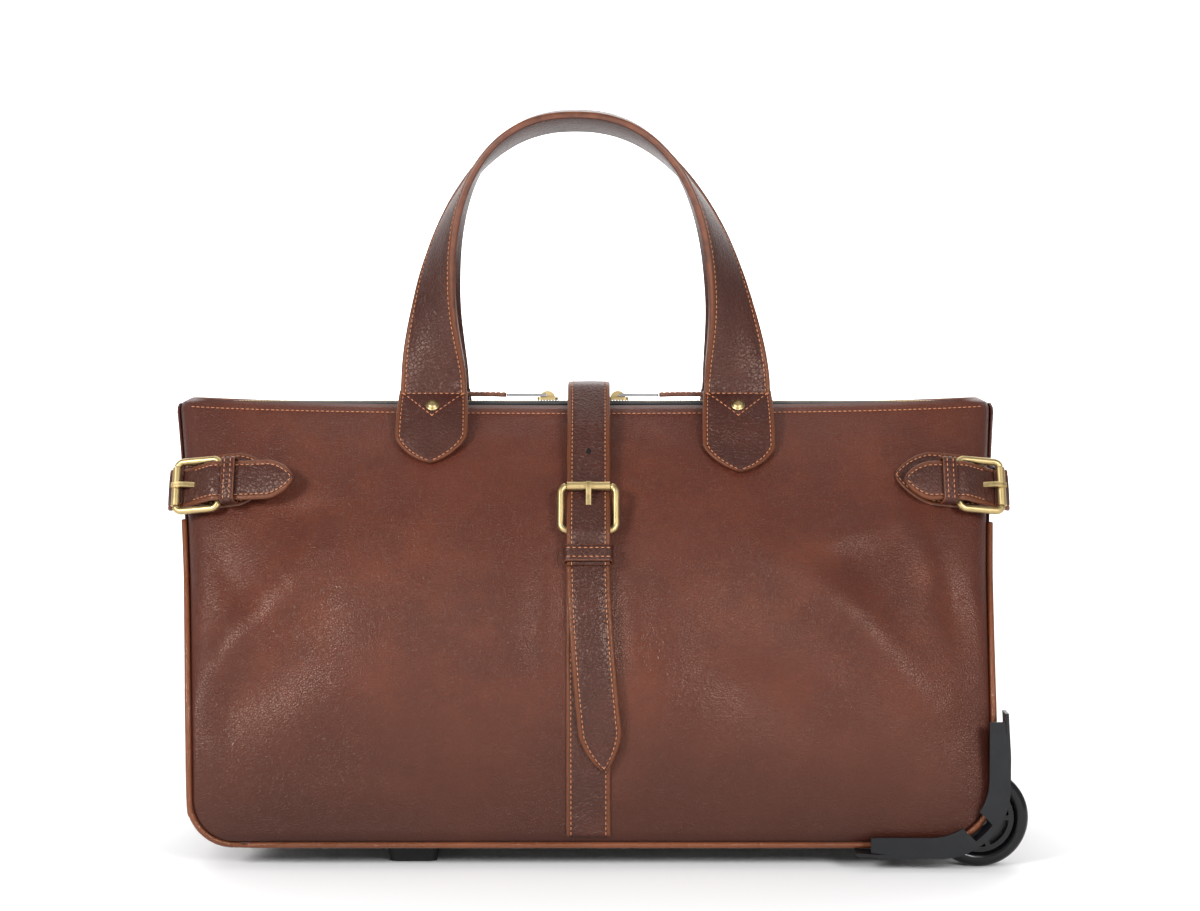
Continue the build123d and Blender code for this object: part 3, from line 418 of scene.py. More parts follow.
class Run:
    """A strap's centre line, evenly divided, with the way the strap faces at each station."""

    def __init__(self, points, faces, step=2.0, per_span=10):
        line = smooth_run([Vector(p) for p in points], per_span)
        facing = smooth_run([Vector(f) for f in faces], per_span)
        lengths = [0.0]
        for a, b in zip(line, line[1:]):
            lengths.append(lengths[-1] + (b - a).length)
        self.length = lengths[-1]
        count = max(int(self.length / step), 3)
        self.centres, self.faces, self.stations = [], [], []
        span = 0
        for i in range(count + 1):
            s = self.length * i / count
            while span < len(lengths) - 2 and lengths[span + 1] < s:
                span += 1
            share = (s - lengths[span]) / max(lengths[span + 1] - lengths[span], 1e-9)
            self.centres.append(line[span].lerp(line[span + 1], share))
            self.faces.append(facing[span].lerp(facing[span + 1], share))
            self.stations.append(s)
        self.alongs, self.acrosses = [], []
        for i in range(count + 1):
            along = (self.centres[min(i + 1, count)] - self.centres[max(i - 1, 0)]).normalized()
            face = self.faces[i]
            face = (face - along * face.dot(along)).normalized()
            self.faces[i] = face
            self.alongs.append(along)
            self.acrosses.append(along.cross(face).normalized())

    def at(self, s, across=0.0, lift=0.0):
        """Point at a distance along, across and out from the strap's middle, and the way it faces there."""
        share = min(max(s / self.length, 0.0), 1.0) * (len(self.centres) - 1)
        i = min(int(share), len(self.centres) - 2)
        part = share - i
        centre = self.centres[i].lerp(self.centres[i + 1], part)
        face = self.faces[i].lerp(self.faces[i + 1], part)
        side = self.acrosses[i].lerp(self.acrosses[i + 1], part)
        return centre + side * across + face * lift, face


def strap_finishes():
    return [materials["strap"], materials["edge"], materials["rim"]]


def make_strap(name, run, width, thickness, mats, crown=0.35, groove=3.4, ripple=0.12):
    """Flat strap with softened edges, a sewn groove along each edge and a slightly crowned face."""
    verts, uvs, faces, kinds = [], [], [], []
    ring = 0
    for i, s in enumerate(run.stations):
        w = width(s) if callable(width) else width
        w = max(w, 1.2)
        fit = min(1.0, w / 16.0)
        offsets = [0.0, 0.45 * fit, 1.2 * fit, (groove - 0.9) * fit, groove * fit, (groove + 0.9) * fit]
        offsets += [w * 0.34, w * 0.5] if w * 0.34 > (groove + 0.9) * fit else [w * 0.42, w * 0.5]
        falls = [0.85, 0.30, 0.05, 0.02, 0.36, 0.0, 0.0, 0.0]
        top = []
        for offset, fall in zip(offsets, falls):
            a = offset - w / 2
            rise = crown * (1 - (2 * a / w) ** 2)
            top.append((a, thickness / 2 - fall * fit + rise * fit))
        top += [(-a, h) for a, h in top[-2::-1]]
        low = thickness / 2
        under = [(w / 2 + 0.15, 0.0), (w / 2 - 0.1, -low + 0.5), (w / 2 - 1.0 * fit, -low), (0.0, -low)]
        under += [(-a, h) for a, h in under[-2::-1]]
        shape = top + under
        ring = len(shape)
        for a, h in shape:
            base = run.centres[i] + run.acrosses[i] * a
            wave = noise.noise(base * 0.045) * ripple * (1 if h > 0 else 0)
            verts.append(base + run.faces[i] * (h + wave))
            uvs.append((a * MM, s * MM))
    edge_rows = {0, len(top) - 2, len(top) - 1, len(top), ring - 2, ring - 1}
    rim_rows = {1, 2, len(top) - 4, len(top) - 3} if len(mats) > 2 else set()
    for i in range(len(run.stations) - 1):
        for k in range(ring):
            n = (k + 1) % ring
            faces.append((i * ring + k, i * ring + n, (i + 1) * ring + n, (i + 1) * ring + k))
            kinds.append(1 if k in edge_rows else 2 if k in rim_rows else 0)
    last = (len(run.stations) - 1) * ring
    faces.append(tuple(range(ring))[::-1])
    faces.append(tuple(last + k for k in range(ring)))
    kinds += [1, 1]
    made = make_mesh(name, verts, faces, mats, kinds, uvs)
    return made


def face_outward(made):
    """Turn a closed mesh's faces outward."""
    import bmesh
    shape = bmesh.new()
    shape.from_mesh(made.data)
    bmesh.ops.recalc_face_normals(shape, faces=shape.faces)
    shape.to_mesh(made.data)
    shape.free()
    return made


def tip_width(full, length, s_end, point=0.35):
    """Strap width that closes to a rounded point over the last length before s_end."""
    def width(s):
        left = s_end - s
        if left >= length:
            return full
        share = max(left / length, 0.0)
        return full * (point * share ** 0.9 + (1 - point) * math.sin(share * math.pi / 2) ** 0.62)
    return width


def make_tube(name, points, radius, mats, sides=12):
    """Round tube along a smooth line, closed at both ends."""
    line = smooth_run([Vector(p) for p in points], 8)
    verts, faces, uvs = [], [], []
    reference = Vector((0, 1, 0))
    travelled = 0.0
    for i, centre in enumerate(line):
        along = (line[min(i + 1, len(line) - 1)] - line[max(i - 1, 0)]).normalized()
        one = (reference - along * reference.dot(along)).normalized()
        two = along.cross(one)
        if i:
            travelled += (centre - line[i - 1]).length
        for k in range(sides):
            turn = 2 * math.pi * k / sides
            verts.append(centre + (one * math.cos(turn) + two * math.sin(turn)) * radius)
            uvs.append((k / sides * 0.015, travelled * MM))
    for i in range(len(line) - 1):
        for k in range(sides):
            n = (k + 1) % sides
            faces.append((i * sides + k, i * sides + n, (i + 1) * sides + n, (i + 1) * sides + k))
    faces.append(tuple(range(sides))[::-1])
    faces.append(tuple((len(line) - 1) * sides + k for k in range(sides)))
    return make_mesh(name, verts, faces, mats, None, uvs)


# ---------------------------------------------------------------- sewing
seams = {}


def sew(piece, points, outs):
    """Remember a row of stitches to be sewn on a piece: points along it and the way they face."""
    seams.setdefault(piece, []).append(([Vector(p) for p in points], [Vector(o) for o in outs]))


def sew_strap(piece, run, width, thickness, start=None, stop=None, inset=None, lift=0.15, sides=(-1, 1)):
    """Stitch rows along both edges of a strap."""
    inset = settings().stitch_inset / MM if inset is None else inset
    start = 0.0 if start is None else start
    stop = run.length if stop is None else stop
    for side in sides:
        points, outs = [], []
        s = start
        while s <= stop:
            w = width(s) if callable(width) else width
            if w / 2 - inset > 0.4:
                spot, face = run.at(s, side * (w / 2 - inset), thickness / 2 + lift)
                points.append(spot)
                outs.append(face)
            s += 1.5
        if len(points) > 2:
            sew(piece, points, outs)


def sew_across(piece, run, s, half, lift, along=0.0):
    """A stitch row across a strap at a distance along it."""
    points, outs = [], []
    for i in range(13):
        a = -half + 2 * half * i / 12
        spot, face = run.at(s + along * abs(a), a, lift)
        points.append(spot)
        outs.append(face)
    sew(piece, points, outs)


def new_tree(name, inputs):
    """Geometry node tree with named inputs."""
    tree = bpy.data.node_groups.new(name, "GeometryNodeTree")
    tree.interface.new_socket("Geometry", in_out="INPUT", socket_type="NodeSocketGeometry")
    for label, kind, default in inputs:
        socket = tree.interface.new_socket(label, in_out="INPUT", socket_type=kind)
        if default is not None:
            socket.default_value = default
    tree.interface.new_socket("Geometry", in_out="OUTPUT", socket_type="NodeSocketGeometry")
    return tree


def stitch_tree():
    """Places a stitch at even steps along every line of the mesh, turned to follow it and to face outward."""
    chosen = settings()
    tree = new_tree("stitch_rows", [
        ("Pitch", "NodeSocketFloat", chosen.stitch_pitch),
        ("Stitch Length", "NodeSocketFloat", chosen.stitch_length),
        ("Stitch Width", "NodeSocketFloat", chosen.stitch_width),
        ("Thread", "NodeSocketMaterial", None),
    ])
    add, link = tree.nodes.new, tree.links.new
    source = add("NodeGroupInput")
    curve = add("GeometryNodeMeshToCurve")
    evenly = add("GeometryNodeResampleCurve")
    evenly.mode = "LENGTH"
    tangent = add("GeometryNodeInputTangent")
    facing = add("GeometryNodeInputNamedAttribute")
    facing.data_type = "FLOAT_VECTOR"
    facing.inputs["Name"].default_value = "out"
    follow = add("FunctionNodeAlignRotationToVector")
    follow.axis = "X"
    upright = add("FunctionNodeAlignRotationToVector")
    upright.axis = "Z"
    upright.pivot_axis = "X"
    stitch = add("GeometryNodeMeshUVSphere")
    stitch.inputs["Segments"].default_value = 6
    stitch.inputs["Rings"].default_value = 5
    stitch.inputs["Radius"].default_value = 0.5
    size = add("ShaderNodeCombineXYZ")
    place = add("GeometryNodeInstanceOnPoints")
    real = add("GeometryNodeRealizeInstances")
    soft = add("GeometryNodeSetShadeSmooth")
    paint = add("GeometryNodeSetMaterial")
    result = add("NodeGroupOutput")
    link(source.outputs["Geometry"], curve.inputs[0])
    link(curve.outputs[0], evenly.inputs["Curve"])
    link(source.outputs["Pitch"], evenly.inputs["Length"])
    link(evenly.outputs[0], place.inputs["Points"])
    link(tangent.outputs[0], follow.inputs["Vector"])
    link(follow.outputs[0], upright.inputs["Rotation"])
    link(facing.outputs["Attribute"], upright.inputs["Vector"])
    link(upright.outputs[0], place.inputs["Rotation"])
    link(source.outputs["Stitch Length"], size.inputs[0])
    link(source.outputs["Stitch Width"], size.inputs[1])
    link(source.outputs["Stitch Width"], size.inputs[2])
    link(size.outputs[0], place.inputs["Scale"])
    link(stitch.outputs["Mesh"], place.inputs["Instance"])
    link(place.outputs[0], real.inputs[0])
    link(real.outputs[0], soft.inputs[0])
    link(soft.outputs[0], paint.inputs["Geometry"])
    link(source.outputs["Thread"], paint.inputs["Material"])
    link(paint.outputs[0], result.inputs[0])
    return tree


def zip_tree():
    """Sets small blocks along the line, on one side of it and then the other, as a closed zip's teeth are."""
    tree = new_tree("zip_teeth_row", [
        ("Pitch", "NodeSocketFloat", settings().zip_pitch),
        ("Tooth Length", "NodeSocketFloat", 0.0014),
        ("Tooth Reach", "NodeSocketFloat", 0.0040),
        ("Tooth Height", "NodeSocketFloat", 0.0026),
        ("Sidestep", "NodeSocketFloat", 0.0011),
        ("Metal", "NodeSocketMaterial", None),
    ])
    add, link = tree.nodes.new, tree.links.new
    source = add("NodeGroupInput")
    curve = add("GeometryNodeMeshToCurve")
    evenly = add("GeometryNodeResampleCurve")
    evenly.mode = "LENGTH"
    index = add("GeometryNodeInputIndex")
    odd = add("ShaderNodeMath")
    odd.operation = "MODULO"
    odd.inputs[1].default_value = 2.0
    centred = add("ShaderNodeMath")
    centred.operation = "SUBTRACT"
    centred.inputs[1].default_value = 0.5
    doubled = add("ShaderNodeMath")
    doubled.operation = "MULTIPLY"
    shift = add("ShaderNodeCombineXYZ")
    step = add("GeometryNodeSetPosition")
    tooth = add("GeometryNodeMeshCube")
    size = add("ShaderNodeCombineXYZ")
    place = add("GeometryNodeInstanceOnPoints")
    real = add("GeometryNodeRealizeInstances")
    paint = add("GeometryNodeSetMaterial")
    result = add("NodeGroupOutput")
    link(source.outputs["Geometry"], curve.inputs[0])
    link(curve.outputs[0], evenly.inputs["Curve"])
    link(source.outputs["Pitch"], evenly.inputs["Length"])
    link(index.outputs[0], odd.inputs[0])
    link(odd.outputs[0], centred.inputs[0])
    link(centred.outputs[0], doubled.inputs[0])
    link(source.outputs["Sidestep"], doubled.inputs[1])
    link(doubled.outputs[0], shift.inputs[1])
    link(evenly.outputs[0], step.inputs["Geometry"])
    link(shift.outputs[0], step.inputs["Offset"])
    link(step.outputs[0], place.inputs["Points"])
    link(source.outputs["Tooth Length"], size.inputs[0])
    link(source.outputs["Tooth Reach"], size.inputs[1])
    link(source.outputs["Tooth Height"], size.inputs[2])
    link(size.outputs[0], tooth.inputs["Size"])
    link(tooth.outputs["Mesh"], place.inputs["Instance"])
    link(place.outputs[0], real.inputs[0])
    link(real.outputs[0], paint.inputs["Geometry"])
    link(source.outputs["Metal"], paint.inputs["Material"])
    link(paint.outputs[0], result.inputs[0])
    return tree


def grow(name, lines, tree, values):
    """Run a node tree on lines, each with the way its points face, and return a plain mesh object."""
    verts, edges, outs = [], [], []
    for points, facings in lines:
        base = len(verts)
        verts += [tuple(p * MM) for p in points]
        outs += facings
        edges += [(base + i, base + i + 1) for i in range(len(points) - 1)]
    mesh = bpy.data.meshes.new(name + "_lines")
    mesh.from_pydata(verts, edges, [])
    attribute = mesh.attributes.new("out", "FLOAT_VECTOR", "POINT")
    attribute.data.foreach_set("vector", [c for o in outs for c in o])
    source = bpy.data.objects.new(name + "_lines", mesh)
    bpy.context.scene.collection.objects.link(source)
    modifier = source.modifiers.new("rows", "NODES")
    modifier.node_group = tree
    for item in tree.interface.items_tree:
        if item.in_out == "INPUT" and item.name in values:
            modifier[item.identifier] = values[item.name]
    evaluated = source.evaluated_get(bpy.context.evaluated_depsgraph_get())
    plain = bpy.data.meshes.new_from_object(evaluated)
    source.modifiers.remove(modifier)
    bpy.data.objects.remove(source)
    plain.name = name
    made = bpy.data.objects.new(name, plain)
    bpy.context.scene.collection.objects.link(made)
    if not plain.polygons:
        raise RuntimeError(f"{name}: the node tree made nothing")
    return made


# ---------------------------------------------------------------- the soft body's shape
def end_arc(z, ends):
    """X of a body end at a height: a smooth line through its bottom, waist and top."""
    bottom, waist, top = ends
    share = (z - bag_bottom) / (bag_top - bag_bottom)
    middle = (160.0 - bag_bottom) / (bag_top - bag_bottom)
    one = bottom * (share - middle) * (share - 1) / (middle * 1.0)
    two = waist * share * (share - 1) / (middle * (middle - 1))
    three = top * share * (share - middle) / (1 - middle)
    return one + two + three


def corner_cut(rise, radius):
    """How far a rounded corner pulls an end in, at a height above the corner's low side."""
    if rise >= radius:
        return 0.0
    return radius - math.sqrt(max(radius ** 2 - (radius - max(rise, 0.0)) ** 2, 0.0))


def outline_x(z):
    """Left and right ends of the body's front outline at a height."""
    rise, fall = z - bag_bottom, bag_top - z
    left = end_arc(z, left_end) + corner_cut(rise, left_corner_radius) + corner_cut(fall, 9.0)
    right = end_arc(z, right_end) - corner_cut(rise, right_corner_radius) - corner_cut(fall, 9.0)
    return left, right


def half_depth(x, z):
    """Half depth of the plain leather body at a place on its face."""
    end = min(abs(x - bag_middle_x) / 290.0, 1.05) ** 3
    share = (z - bag_bottom) / (bag_top - bag_bottom)
    mouth = mouth_half_depth_middle + (mouth_half_depth_end - mouth_half_depth_middle) * end
    power = 3.2 - 1.9 * end
    bulge = 5.5 + 2.5 * end
    drawn_in = (base_half_depth - mouth) * max(share, 0.0) ** power
    return base_half_depth - drawn_in + bulge * math.sin(math.pi * share)


# Each crease: start x, z, end x, z, half width, height (negative is a hollow), all in millimetres
front_creases = (
    (-278, 128, -214, 196, 15, 2.6),
    (-214, 196, -172, 236, 17, 2.0),
    (-268, 98, -190, 150, 22, -2.0),
    (-226, 238, -160, 250, 12, -1.8),
    (-262, 212, -236, 176, 12, -1.5),
    (118, 222, 190, 172, 20, 3.4),
    (170, 186, 236, 116, 17, 2.4),
    (82, 138, 150, 106, 24, -2.6),
    (206, 238, 148, 226, 12, 1.8),
    (236, 214, 262, 150, 14, -2.2),
    (222, 236, 240, 190, 10, 1.4),
    (26, 262, 30, 112, 15, -1.3),
    (-34, 250, -36, 120, 12, -1.0),
    (-120, 270, -60, 300, 12, 1.0),
    (40, 300, 110, 262, 12, 1.0),
)
back_creases = (
    (-276, 120, -208, 190, 17, 2.4),
    (-230, 240, -160, 222, 14, -1.8),
    (120, 205, 226, 120, 20, 2.4),
    (88, 130, 150, 100, 22, -2.0),
    (206, 236, 150, 222, 13, 1.6),
    (-90, 170, 40, 150, 30, 1.5),
)


def crease(x, z, side):
    """How far folds and hollows move the leather out at a place."""
    total = 0.0
    for x0, z0, x1, z1, reach, height in front_creases if side < 0 else back_creases:
        run, rise = x1 - x0, z1 - z0
        share = ((x - x0) * run + (z - z0) * rise) / (run * run + rise * rise)
        inside = min(max(share, 0.0), 1.0)
        away = math.hypot(x - x0 - run * inside, z - z0 - rise * inside)
        fade = math.sin(math.pi * min(max(0.15 + 0.7 * inside, 0.0), 1.0))
        total += height * fade * math.exp(-(away / reach) ** 2)
    total *= 2.1
    total += 1.3 * noise.noise(Vector((x * 0.011, side * 3.0, z * 0.013)))
    total += 0.35 * noise.noise(Vector((x * 0.035, side * 7.0, z * 0.04)))
    return total


def face_depth(x, z, side, free=1.0):
    """Half depth of the finished face: the plain body with its folds, rolled back towards the seams."""
    left, right = outline_x(z)
    from_end = max(min(x - left, right - x), 0.0)
    from_base = z - bag_bottom
    upper = min(max((z - 110.0) / 90.0, 0.0), 1.0)
    radius = 4.0 + 10.0 * upper
    roll = corner_cut(from_end, radius) * (0.55 + 0.3 * upper)
    roll += corner_cut(from_base, 9.0) * 0.45
    calm = min(from_end / 26.0, 1.0) * min(from_base / 26.0, 1.0) * min((bag_top - z) / 22.0, 1.0)
    return half_depth(x, z) + crease(x, z, side) * max(calm, 0.0) * free - roll


def top_sag(x):
    """How far the mouth's edge hangs below the corners."""
    share = min(abs(x - bag_middle_x) / 285.0, 1.0)
    return 3.6 * (1 - share ** 2) - 1.6 * share ** 6


def face_point(x, z, side, out=0.0):
    """Point on a face of the body, standing off it, and the way the face looks."""
    step = 3.0
    depth = face_depth(x, z, side)
    across = (face_depth(x + step, z, side) - face_depth(x - step, z, side)) / (2 * step)
    upward = (face_depth(x, z + step, side) - face_depth(x, z - step, side)) / (2 * step)
    normal = Vector((-across, side * 1.0, -upward)).normalized()
    return Vector((x, side * depth, z)) + normal * out, normal


def closure_stand(z, stand, side=-1):
    """Point standing off the closure line's plain panel, with the way it faces."""
    step = 6.0
    slope = (half_depth(closure_x, z - step) - half_depth(closure_x, z + step)) / (2 * step)
    normal = Vector((0, side, slope)).normalized()
    depth = half_depth(closure_x, z) + stand * math.sqrt(1 + slope * slope)
    return Vector((closure_x, side * depth, z)), normal


# ---------------------------------------------------------------- operators
class DUFFLE_OT_materials(bpy.types.Operator):
    """Make the finishes and put them on the frame's own parts"""

    bl_idname = "duffle.materials"
    bl_label = "Finishes"

    def execute(self, context):
        s = settings()
        dark, middle, light = tuple(s.leather_dark), tuple(s.leather_colour), tuple(s.leather_light)
        strap, edge = tuple(s.strap_colour), tuple(s.edge_colour)
        brass = tuple(s.brass_colour)
        materials.update(
            # The body's last figure, 0.75, sets the painted shade towards the bottom and the darkening
            # towards both ends.
            body=leather_material("body_leather", dark, middle, light, 900.0, 0.00040, 0.40, 0.75),
            strap=leather_material(
                "strap_leather", shade(strap, 0.55), strap, shade(strap, 1.9),
                560.0, 0.00062, 0.40, 0.0, 0.42,
            ),
            rim=leather_material(
                "rim_leather", shade(edge, 0.28), shade(edge, 0.42), shade(edge, 0.6),
                700.0, 0.0003, 0.40, 0.0, 0.4,
            ),
            edge=edge_material("edge_paint", shade(edge, 0.6), shade(edge, 0.3)),
            piping=leather_material(
                "piping_leather", shade(edge, 0.35), shade(edge, 0.6), shade(edge, 0.8),
                900.0, 0.0003, 0.30, 0.0, 0.5,
            ),
            thread=thread_material("thread", tuple(s.thread_colour)),
            brass=brass_material("antique_brass", brass, 0.33),
            steel=metal_material("pull_steel", (0.34, 0.34, 0.35), 0.32),
            axle=metal_material("axle_steel", (0.50, 0.50, 0.50), 0.30, 1),
            tube=metal_material("tube_metal", (0.58, 0.59, 0.61), 0.28),
            guard=plastic_material("guard_plastic", (0.0040, 0.0044, 0.0056), 0.38, 1500.0, 0.00012),
            tyre=plastic_material("tyre_rubber", (0.0025, 0.0025, 0.0035), 0.20, 500.0, 0.00004),
            hub=plastic_material("hub_plastic", (0.0040, 0.0040, 0.0050), 0.25, 900.0, 0.00005),
            bush=plastic_material("bush_plastic", (0.45, 0.45, 0.42), 0.45, 900.0, 0.00006),
            button=plastic_material("button_plastic", (0.045, 0.045, 0.05), 0.35, 1200.0, 0.00006),
            board=plastic_material("tray_board", (0.05, 0.05, 0.055), 0.6, 700.0, 0.0003),
            foot=plastic_material("foot_rubber", (0.010, 0.010, 0.011), 0.62, 1000.0, 0.0002),
            tape=cloth_material("zip_tape", (0.012, 0.012, 0.014), 520.0, 0.75, 0.0004),
            lining=cloth_material("lining_cloth", (0.10, 0.075, 0.055), 600.0, 0.8, 0.0003),
            base=cloth_material("base_cloth", (0.020, 0.020, 0.022), 420.0, 0.62, 0.0005),
            dark=plastic_material("hole_shadow", (0.004, 0.002, 0.002), 0.9, 600.0, 0.0001),
        )
        finishes = {
            "antique_brass": "brass", "pull_steel": "steel", "axle_steel": "axle", "tube_metal": "tube",
            "guard_plastic": "guard", "tyre_rubber": "tyre", "hub_plastic": "hub", "bush_plastic": "bush",
            "button_plastic": "button", "tray_board": "board", "foot_rubber": "foot", "zip_tape": "tape",
            "lining_cloth": "lining", "base_cloth": "base", "body_leather": "body", "strap_leather": "strap",
            "piping_leather": "piping",
        }
        for part in frame["record"]["subparts"]:
            made = frame["nodes"][part["node"]]
            made.data.materials.clear()
            made.data.materials.append(materials[finishes[part["material_slot"]]])
        return {"FINISHED"}


class DUFFLE_OT_body(bpy.types.Operator):
    """Build the front and back panels, the end gussets, the base and the piping"""

    bl_idname = "duffle.body"
    bl_label = "Leather body"

    def panel(self, side, name):
        """One face of the body, pinched to its mouth and rolled to its seams, with lining inside its wall."""
        columns, rows = settings().panel_columns, settings().panel_rows
        verts, uvs, faces = [], [], []
        for j in range(rows + 1):
            share = j / rows
            height = bag_bottom + (bag_top - bag_bottom) * (share ** 1.5 * 0.75 + share * 0.25)
            left, right = outline_x(height)
            for i in range(columns + 1):
                u = i / columns
                edge = math.sin(math.pi * (u - 0.5)) * 0.5 + 0.5
                u = u * 0.72 + edge * 0.28
                x = left + (right - left) * u
                drop = top_sag(x) * max((height - bag_bottom) / (bag_top - bag_bottom), 0.0) ** 3
                verts.append((x, side * face_depth(x, height, side), height - drop))
                uvs.append((x * MM, height * MM))
        wide = columns + 1
        for j in range(rows):
            for i in range(columns):
                a, b = j * wide + i, j * wide + i + 1
                quad = (a, b, b + wide, a + wide)
                faces.append(quad if side < 0 else quad[::-1])
        finishes = [materials["body"], materials["edge"], materials["lining"]]
        made = make_mesh(name, verts, faces, finishes, None, uvs)
        wall = made.modifiers.new("wall", "SOLIDIFY")
        wall.thickness = 2.2 * MM
        wall.offset = -1.0
        wall.material_offset = 2
        wall.material_offset_rim = 1
        wall.use_quality_normals = True
        return made

    def gusset(self, name, pick, mats, hole=None):
        """Strip joining the faces along part of the outline, with a soft pleat where the ends are cinched.

        The strip faces into the bag and its wall grows outward, so the first finish is inside and the second
        is outside.
        """
        outline = []
        heights = [bag_top - 3.5 - (bag_top - bag_bottom - 3.5) * (k / 110) for k in range(111)]
        for z in heights:
            outline.append((outline_x(z)[0], z, -1))
        left_foot, right_foot = outline_x(bag_bottom)
        steps = 120
        for k in range(1, steps):
            outline.append((left_foot + (right_foot - left_foot) * k / steps, bag_bottom, 0))
        for z in reversed(heights):
            outline.append((outline_x(z)[1], z, 1))
        kept = [p for p in outline if pick(p[0])]
        columns = 110
        verts, uvs, faces = [], [], []
        travelled = 0.0
        for k, (x, z, end) in enumerate(kept):
            if k:
                travelled += math.hypot(x - kept[k - 1][0], z - kept[k - 1][1])
            inward = Vector((1.0 if x < bag_middle_x else -1.0, 0, 0))
            edge = face_depth(x, z, -1, 0.0)
            pleat = 0.0
            if end:
                rise = min(max((z - 120.0) / 170.0, 0.0), 1.0)
                pleat = 9.0 * math.sin(math.pi * rise) ** 1.2
            for c in range(columns + 1):
                share = c / columns * 2 - 1
                y = share * edge
                fold = pleat * max(1 - abs(share) * 1.6, 0.0) ** 1.5 if end else 0.0
                soft = (1 - abs(share) ** 4) * (1.2 if end else 0.6)
                ripple = noise.noise(Vector((x * 0.02, y * 0.025, z * 0.02)))
                wave = ripple * (0.9 if end else 0.3) * (1 - share ** 4)
                place = Vector((x, y, z)) + inward * (fold + wave - soft * (1 if end else 0))
                if not end:
                    place.z += soft * 0.6 + wave * 0.4
                verts.append(place)
                uvs.append((y * MM, travelled * MM))
        wide = columns + 1
        for k in range(len(kept) - 1):
            for c in range(columns):
                a, b = k * wide + c, k * wide + c + 1
                middle = (verts[a] + verts[b] + verts[a + wide] + verts[b + wide]) / 4
                if hole is not None and hole(middle):
                    continue
                faces.append((a, a + wide, b + wide, b))
        made = make_mesh(name, verts, faces, mats, None, uvs)
        wall = made.modifiers.new("wall", "SOLIDIFY")
        wall.thickness = 2.0 * MM
        wall.offset = -1.0
        wall.material_offset = 1
        wall.material_offset_rim = 1
        return made

    def piping(self, side, name):
        """Round welt along the seam: down the left end, under the base and up the right end."""
        points = []
        stand = 2.4

        def add_point(x, z, out_x, out_z):
            depth = face_depth(min(max(x, outline_x(z)[0]), outline_x(z)[1]), z, side, 0.0)
            points.append(Vector((x + out_x * stand, side * (depth - 0.6), z + out_z * stand)))

        for z in [236 - 12 * k for k in range(15)]:
            add_point(outline_x(z)[0], z, -1, 0)
        for k in range(1, 8):
            turn = math.radians(90 * k / 8)
            x = left_end[0] + left_corner_radius * (1 - math.cos(turn))
            z = bag_bottom + left_corner_radius * (1 - math.sin(turn))
            add_point(x, z, -math.cos(turn), -math.sin(turn))
        for k in range(23):
            run = (478 - left_corner_radius + 30) * k / 22 * 0.99
            add_point(left_end[0] + left_corner_radius + run, bag_bottom, 0, -1)
        for k in range(1, 10):
            turn = math.radians(90 * k / 10)
            x = right_end[0] - right_corner_radius * (1 - math.sin(turn))
            z = bag_bottom + right_corner_radius * (1 - math.cos(turn))
            add_point(x, z, math.sin(turn), -math.cos(turn))
        for z in [66 + 12 * k for k in range(15)]:
            add_point(outline_x(z)[1], z, 1, 0)
        return make_tube(name, points, 2.3, [materials["piping"]])

    def execute(self, context):
        for side, word in ((-1, "front"), (1, "back")):
            made = self.panel(side, f"{word}_panel_leather")
            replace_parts(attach(made, "bag"), f"{word}_panel")
            if side < 0:
                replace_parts(made, "lining")
            welt = self.piping(side, f"{word}_welt")
            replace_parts(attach(welt, "bag"), f"piping_{word}")
            points, outs = [], []
            for k in range(291):
                x = -289 + 2 * k
                if x > 277:
                    break
                z = bag_top - 6.0
                spot, normal = face_point(x, z, side, 0.35)
                spot.z -= top_sag(x) * 0.94
                points.append(spot)
                outs.append(normal)
            sew("body", points, outs)
        left_seam = node_box("base_panel")[0].x
        right_seam = node_box("base_panel")[1].x
        cup_y, cup_z0, cup_z1 = cup_high.y - 3.0, cup_low.z + 3.0, cup_high.z - 3.0

        def cup_hole(p):
            return abs(p.y) < cup_y and cup_z0 < p.z < cup_z1 and p.x < left_end[0] + 30

        def wheel_hole(p):
            near = math.hypot(p.x - wheel_x, p.z - wheel_radius) < wheel_radius + 4.6
            return near and wheel_y - 16.5 < abs(p.y) < wheel_y + 13.0

        def on_left(x):
            return x <= left_seam + 2

        def on_base(x):
            return left_seam <= x <= right_seam + 2

        def on_right(x):
            return x >= right_seam

        pieces = (
            ("left_end_leather", "left_gusset", on_left, "body", "body_leather", cup_hole),
            ("base_cloth_sheet", "base_panel", on_base, "base", "base_cloth", None),
            ("right_end_leather", "right_gusset", on_right, "body", "body_leather", wheel_hole),
        )
        for name, node, pick, finish, slot, hole in pieces:
            made = self.gusset(name, pick, [materials["lining"], materials[finish]], hole)
            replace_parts(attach(made, "bag"), node)
        return {"FINISHED"}


